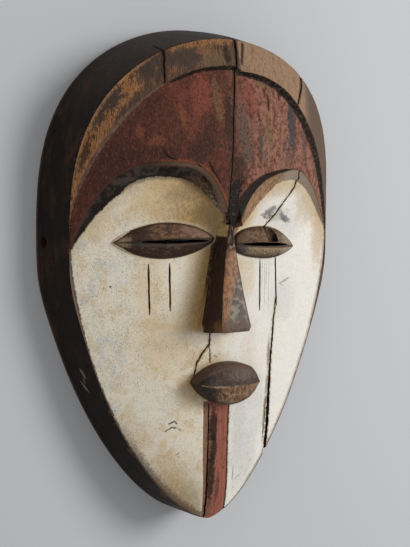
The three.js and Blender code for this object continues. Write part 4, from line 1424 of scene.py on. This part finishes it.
def slit(name, eye):
    start, end = eye["slit"]

    def surface(column, row):
        x, y = (lerp(a, b, column / SLIT_COLUMNS) for a, b in zip(start, end))
        u = 2 * column / SLIT_COLUMNS - 1
        half = SLIT_WIDTH / 2 * math.sqrt(max(1 - u * u, 0)) * (1 + lumps(SLIT_MARKS, x, 0))
        return Vector((x, y + (2 * row - 1) * half, TALL))

    return carved_block(name, SLIT_COLUMNS, 1, surface, [straight_ring(BELOW_RIM)], BREAK)


def on_chain(chain, share):
    """Point at that share of the way along a chain of corners, each stretch counting the same."""
    place = clamp(share) * (len(chain) - 1)
    k = min(int(place), len(chain) - 2)
    return [lerp(a, b, place - k) for a, b in zip(chain[k], chain[k + 1])]


def lid_loss():
    columns, rows = LID_LOSS_GRID

    def surface(column, row):
        low = on_chain(LID_LOSS_LOWER, column / columns)
        high = on_chain(LID_LOSS_UPPER, column / columns)
        x, y = (lerp(a, b, row / rows) for a, b in zip(low, high))
        splinters = lumps(SPLINTERS, x, y * SPLINTER_CROWDING) + lumps(LID_LOSS_MARKS, x, y)
        return Vector((x, y, LID_LOSS_Z + splinters))

    return carved_block("lid_loss", columns, rows, surface, [straight_ring(TALL)], BREAK)


def nose_at(y):
    """Middle, half width and height of the nose's front at y."""
    for low, high in zip(NOSE_FRONT, NOSE_FRONT[1:]):
        if y <= high[1]:
            t = clamp((y - low[1]) / (high[1] - low[1]))
            return [lerp(low[axis], high[axis], t) for axis in (0, 2, 3)]
    return [NOSE_FRONT[-1][axis] for axis in (0, 2, 3)]


def nose():
    columns, rows = NOSE_GRID
    base, top = NOSE_FRONT[0][1], NOSE_FRONT[-1][1]

    def surface(column, row):
        y = lerp(base, top, row / rows)
        middle, half, z = nose_at(y)
        across = math.sin(math.pi / 2 * (2 * column / columns - 1))
        x = middle + across * half
        drop = NOSE_EDGE_DROP * abs(across) ** NOSE_EDGE_CURVE
        drop += NOSE_BASE_DROP * smoothstep(base + NOSE_BASE_FADE, base, y)
        return Vector((x, y, z - drop + lumps(NOSE_MARKS, x, y)))

    def flank(share):
        def move(start):
            x, y, z = start
            middle = nose_at(y)[0]
            fade = smoothstep(0, MARKS_START, share)
            out = NOSE_FOOT_SPREAD * share + lumps(NOSE_FLANK_MARKS, y, z * (1 - share)) * fade
            down = NOSE_BASE_SLOPE * share if y < base + 1e-3 else 0
            return Vector((x + math.copysign(out, x - middle), y - down, lerp(z, NOSE_FOOT_Z, share)))

        return move

    rings = [flank((k / SIDE_RINGS) ** NOSE_RING_CURVE) for k in range(1, SIDE_RINGS + 1)]
    return carved_block("nose", columns, rows, surface, rings, NOSE_FACET, NOSE_FLANK)


def mouth_side(u):
    return "left" if u < 0 else "right"


def mouth_opening(u):
    return max(1 - u * u, 0) ** MOUTH_ENDS[mouth_side(u)]


def mouth_axis(u):
    return MOUTH_Y + MOUTH_END_RISE[mouth_side(u)] * min(u * u, MOUTH_END_RISE_LIMIT)


def lip_share(x, y):
    """Height across the leaf: -1 at its lower edge, 0 at the ridge, 1 at its upper edge."""
    u = (x - MOUTH_X) / MOUTH_HALF_LENGTH
    away = y - mouth_axis(u)
    reach = mouth_opening(u) * (MOUTH_UP if away > 0 else MOUTH_DOWN)
    return away / max(reach, 1e-3)


def mouth():
    columns, rows = MOUTH_GRID

    def surface(column, row):
        u = -math.cos(math.pi * column / columns)
        v = 2 * row / rows - 1
        v = math.copysign(abs(v) ** LIP_SPACING, v)
        x = MOUTH_X + u * MOUTH_HALF_LENGTH
        y = mouth_axis(u)
        if column not in (0, columns):
            y += v * mouth_opening(u) * (MOUTH_UP if v > 0 else MOUTH_DOWN)
        fall = LIP_FALL * abs(v) ** LIP_CURVE + MOUTH_END_FALL * u**MOUTH_END_CURVE
        worn_edge = LIP_EDGE_DROP * smoothstep(LIP_EDGE_STARTS, 1, abs(v))
        across, along = LIP_CUTS_CROWDING
        cuts = lumps(LIP_CUTS, x * across, y * along) * smoothstep(0, LIP_CUTS_START, abs(v))
        return Vector((x, y, MOUTH_RIDGE - fall - worn_edge + cuts))

    def side(share):
        def move(start):
            x, y, z = start
            out = Vector((x - MOUTH_X, y - MOUTH_Y)).normalized() * MOUTH_DRAFT * share
            return Vector((x + out.x, y + out.y, lerp(z, MOUTH_FOOT_Z, share)))

        return move

    rings = [side(k / SIDE_RINGS) for k in range(1, SIDE_RINGS + 1)]
    return carved_block("mouth", columns, rows, surface, rings, MOUTH_WOOD)


def groove(name, line, depth, finish, wander=0.0):
    """Cutter with a V-shaped underside along a line of (x, y, width) points."""
    points = []
    for a, b in zip(line, line[1:]):
        steps = max(math.ceil(math.dist(a[:2], b[:2]) / CRACK_STEP), 1)
        points += [[lerp(p, q, step / steps) for p, q in zip(a, b)] for step in range(steps)]
    points.append(list(line[-1]))
    columns, rows = len(points) - 1, GROOVE_ROWS

    def surface(column, row):
        x, y, width = points[column]
        before, after = points[max(column - 1, 0)], points[min(column + 1, columns)]
        across = Vector((before[1] - after[1], after[0] - before[0])).normalized()
        side = row / rows * 2 - 1
        sway = 2 * wander * wobble(x, y, GROOVE_SWAY_SIZE, depth)
        pinch = wander * wobble(x, y, GROOVE_PINCH_SIZE, depth + GROOVE_PINCH_SEED)
        half = width / 2 * (1 + pinch)
        px = x + across.x * (side * half + sway)
        py = y + across.y * (side * half + sway)
        below = depth * (1 - abs(side)) ** GROOVE_CURVE if abs(side) < 1 else -GROOVE_LIP
        past_edge = max(-inset_at(px, py), 0)
        return Vector((px, py, front_z(px, py) - below - CRACK_FALL * past_edge))

    return carved_block(name, columns, rows, surface, [straight_ring(TALL)], finish)


def tear(name, ends):
    (x0, y0), (x1, y1) = ends
    shares = (0, TEAR_END_SHARE, 1 - TEAR_END_SHARE, 1)
    widths = (TEAR_END_WIDTH, TEAR_WIDTH, TEAR_WIDTH, TEAR_END_WIDTH)
    line = [(lerp(x0, x1, t), lerp(y0, y1, t), width) for t, width in zip(shares, widths)]
    return groove(name, line, TEAR_DEPTH, CUT, TEAR_WANDER)


def tie_holes():
    """One bar that reaches through both side walls."""
    bm = bmesh.new()
    bmesh.ops.create_cone(
        bm,
        cap_ends=True,
        segments=TIE_HOLE_SIDES,
        radius1=TIE_HOLE_RADIUS,
        radius2=TIE_HOLE_RADIUS,
        depth=4 * HALF_WIDTH,
    )
    bmesh.ops.rotate(bm, verts=bm.verts, matrix=Matrix.Rotation(math.pi / 2, 3, "Y"))
    bmesh.ops.scale(bm, verts=bm.verts, vec=(1, TIE_HOLE_STRETCH, 1))
    bmesh.ops.translate(bm, verts=bm.verts, vec=(0, TIE_HOLE_Y, TIE_HOLE_Z))
    for face in bm.faces:
        face.material_index = WALL_WOOD
    return with_finishes(as_object(bm, "tie_holes"))


def combine(piece, tools, operation):
    """Joins the tools to the piece, or cuts them out of it, and takes them away."""
    for tool in tools:
        step = piece.modifiers.new(tool.name, "BOOLEAN")
        step.solver = "MANIFOLD"
        step.operation = operation
        step.object = tool
    shaped = piece.evaluated_get(bpy.context.evaluated_depsgraph_get())
    mesh = bpy.data.meshes.new_from_object(shaped)
    piece.modifiers.clear()
    piece.data = mesh
    for tool in tools:
        bpy.data.objects.remove(tool)


def beyond(x, y, half_width, reach, curve):
    """Distance outside the curve (x / half_width)^a + (y / reach)^b = 1, below 0 inside it."""
    across, along = abs(x) / half_width, abs(y) / reach
    fill = across ** curve[0] + along ** curve[1]
    slope_x = curve[0] * across ** (curve[0] - 1) / half_width
    slope_y = curve[1] * along ** (curve[1] - 1) / reach
    return (fill - 1) / max(math.hypot(slope_x, slope_y), 1e-4)


def above(line, x, y):
    """Distance above a line across the face, below 0 under it."""
    slope = (line(x + HALF_STEP) - line(x - HALF_STEP)) / (2 * HALF_STEP)
    return (y - line(x)) / math.hypot(1, slope)


def onto_band(line, x, y):
    if y <= BAND_Y:
        return abs(x) - BAND_HALF_WIDTH
    rise, curve = band_half(line, x)
    return beyond(x, y - BAND_Y, BAND_HALF_WIDTH, rise, curve)


def from_nose(x, y):
    middle, half, _ = nose_at(y)
    aside = abs(x - middle) - half - NOSE_FOOT_SPREAD
    past_end = max(NOSE_FRONT[0][1] - NOSE_BASE_SLOPE - y, y - NOSE_FRONT[-1][1])
    if aside > 0 and past_end > 0:
        return math.hypot(aside, past_end)
    return max(aside, past_end)


def from_mouth(x, y):
    u = (x - MOUTH_X) / MOUTH_HALF_LENGTH
    away = y - mouth_axis(u)
    reach = MOUTH_UP if away > 0 else MOUTH_DOWN
    curve = (2, 1 / MOUTH_ENDS[mouth_side(u)])
    return beyond(x - MOUTH_X, away, MOUTH_HALF_LENGTH, reach, curve)


def nearest_eye(x):
    return EYES["left"] if x < EYES_PART_X else EYES["right"]


def from_eye(x, y):
    eye = nearest_eye(x)
    low, high = eye_bounds(eye)
    middle = (low + high) / 2
    away = y - eye_axis(eye, x)
    reach = eye["up"] if away > 0 else eye["down"]
    towards_nose = abs(x) < abs(middle)
    end = eye["bluntness"] if towards_nose else LID_OUTER_BLUNTNESS
    return beyond(x - middle, away, (high - low) / 2, reach, (2, 1 / end))


def from_crack(x, y):
    nearest = FAR
    for _, line in CRACKS + FINE_CRACKS:
        for (ax, ay, aw), (bx, by, bw) in zip(line, line[1:]):
            if min(ax, bx) - NEAR_CRACK < x < max(ax, bx) + NEAR_CRACK:
                along = Vector((bx - ax, by - ay))
                share = clamp(Vector((x - ax, y - ay)).dot(along) / along.length_squared)
                off = math.hypot(x - lerp(ax, bx, share), y - lerp(ay, by, share))
                nearest = min(nearest, off - lerp(aw, bw, share) / 2)
    return nearest


# What the mesh carries for the finishes: distances in millimetres, and shares across lids and lips
MEASURES = {
    "across": lambda x, y: x,
    "along": lambda x, y: y,
    "from_edge": inset_at,
    "over_brow": lambda x, y: above(brow_foot_y, x, y),
    "over_crest": lambda x, y: above(brow_crest_y, x, y),
    "onto_bevel": lambda x, y: onto_band(BAND_FOOT, x, y),
    "onto_band": lambda x, y: onto_band(BAND_TOP, x, y),
    "from_nose": from_nose,
    "from_mouth": from_mouth,
    "from_eye": from_eye,
    "from_crack": from_crack,
    "beside_stripe": beside_stripe,
    "across_lid": lambda x, y: lid_share(nearest_eye(x), x, y),
    "across_lip": lip_share,
}


def take_measures(mesh):
    for name, measure in MEASURES.items():
        layer = mesh.attributes.new(name, "FLOAT", "POINT")
        values = [measure(vert.co.x, vert.co.y) for vert in mesh.vertices]
        layer.data.foreach_set("value", values)


def carve_mask():
    mask = outer_body()
    raised = [eyelids(f"lids_{name}", eye) for name, eye in EYES.items()] + [nose(), mouth()]
    combine(mask, raised, "UNION")
    cutters = [hollow(), lid_loss(), tie_holes()]
    cutters += [slit(f"slit_{name}", eye) for name, eye in EYES.items()]
    cutters += [tear(f"tear_{k}", ends) for k, ends in enumerate(TEARS)]
    for k, (depth, line) in enumerate(CRACKS + FINE_CRACKS):
        cutters.append(groove(f"crack_{k}", line, depth, BREAK, CRACK_WANDER))
    combine(mask, cutters, "DIFFERENCE")
    take_measures(mask.data)
    mask.data.transform(Matrix.Scale(MM, 4))
    mask.data.shade_smooth()
    mask.data.set_sharp_from_angle(angle=SHARP_ANGLE)
    return mask


finishes = [
    painted_front(),
    side_wood(),
    hollow_wood(),
    broken_wood(),
    cut_lines(),
    lid_paint(),
    nose_facet(),
    nose_flank(),
    lip_wood(),
]
mask = carve_mask()
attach(mask, "root")
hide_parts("mask")


def camera():
    towards = Vector((
        -math.sin(AZIMUTH) * math.cos(ELEVATION),
        math.sin(ELEVATION),
        math.cos(AZIMUTH) * math.cos(ELEVATION),
    ))
    right = Vector((math.cos(AZIMUTH), 0, math.sin(AZIMUTH)))
    up = towards.cross(right)
    turned_right = right * math.cos(ROLL) + up * math.sin(ROLL)
    turned_up = up * math.cos(ROLL) - right * math.sin(ROLL)
    view = Matrix((turned_right, turned_up, towards)).transposed().to_4x4()
    lens = bpy.data.cameras.new("camera")
    lens.sensor_fit = "VERTICAL"
    lens.sensor_height = SENSOR
    lens.lens = SENSOR * PIXELS_PER_METRE * DISTANCE / PHOTO_HEIGHT
    lens.shift_x = (PHOTO_WIDTH / 2 - AIM_PIXEL[0]) / PHOTO_HEIGHT
    lens.shift_y = (AIM_PIXEL[1] - PHOTO_HEIGHT / 2) / PHOTO_HEIGHT
    item = bpy.data.objects.new("camera", lens)
    item.matrix_world = Matrix.Translation(AIM + towards * DISTANCE) @ view
    bpy.context.scene.collection.objects.link(item)
    bpy.context.scene.camera = item


def key_light():
    lamp = bpy.data.lights.new("key", "AREA")
    lamp.shape = "DISK"
    lamp.size = KEY_SIZE
    lamp.energy = KEY_POWER
    lamp.color = KEY_COLOUR
    item = bpy.data.objects.new("key", lamp)
    item.location = KEY_PLACE
    aim = Vector(KEY_AIM) - Vector(KEY_PLACE)
    item.rotation_euler = aim.to_track_quat("-Z", "Y").to_euler()
    bpy.context.scene.collection.objects.link(item)


def studio():
    floor = bmesh.new()
    bmesh.ops.create_grid(floor, x_segments=1, y_segments=1, size=FLOOR_HALF)
    ground = as_object(floor, "floor")
    plain = bpy.data.materials.new("pale_floor")
    plain.use_nodes = True
    paint = plain.node_tree.nodes["Principled BSDF"]
    paint.inputs["Base Color"].default_value = FLOOR_COLOUR
    paint.inputs["Roughness"].default_value = FLOOR_ROUGHNESS
    ground.data.materials.append(plain)
    key_light()
    world = bpy.data.worlds.new("studio")
    world.use_nodes = True
    sky = world.node_tree.nodes["Background"]
    sky.inputs["Color"].default_value = SKY_COLOUR
    sky.inputs["Strength"].default_value = SKY_STRENGTH
    bpy.context.scene.world = world
    bpy.context.scene.view_settings.view_transform = "Standard"


camera()
studio()
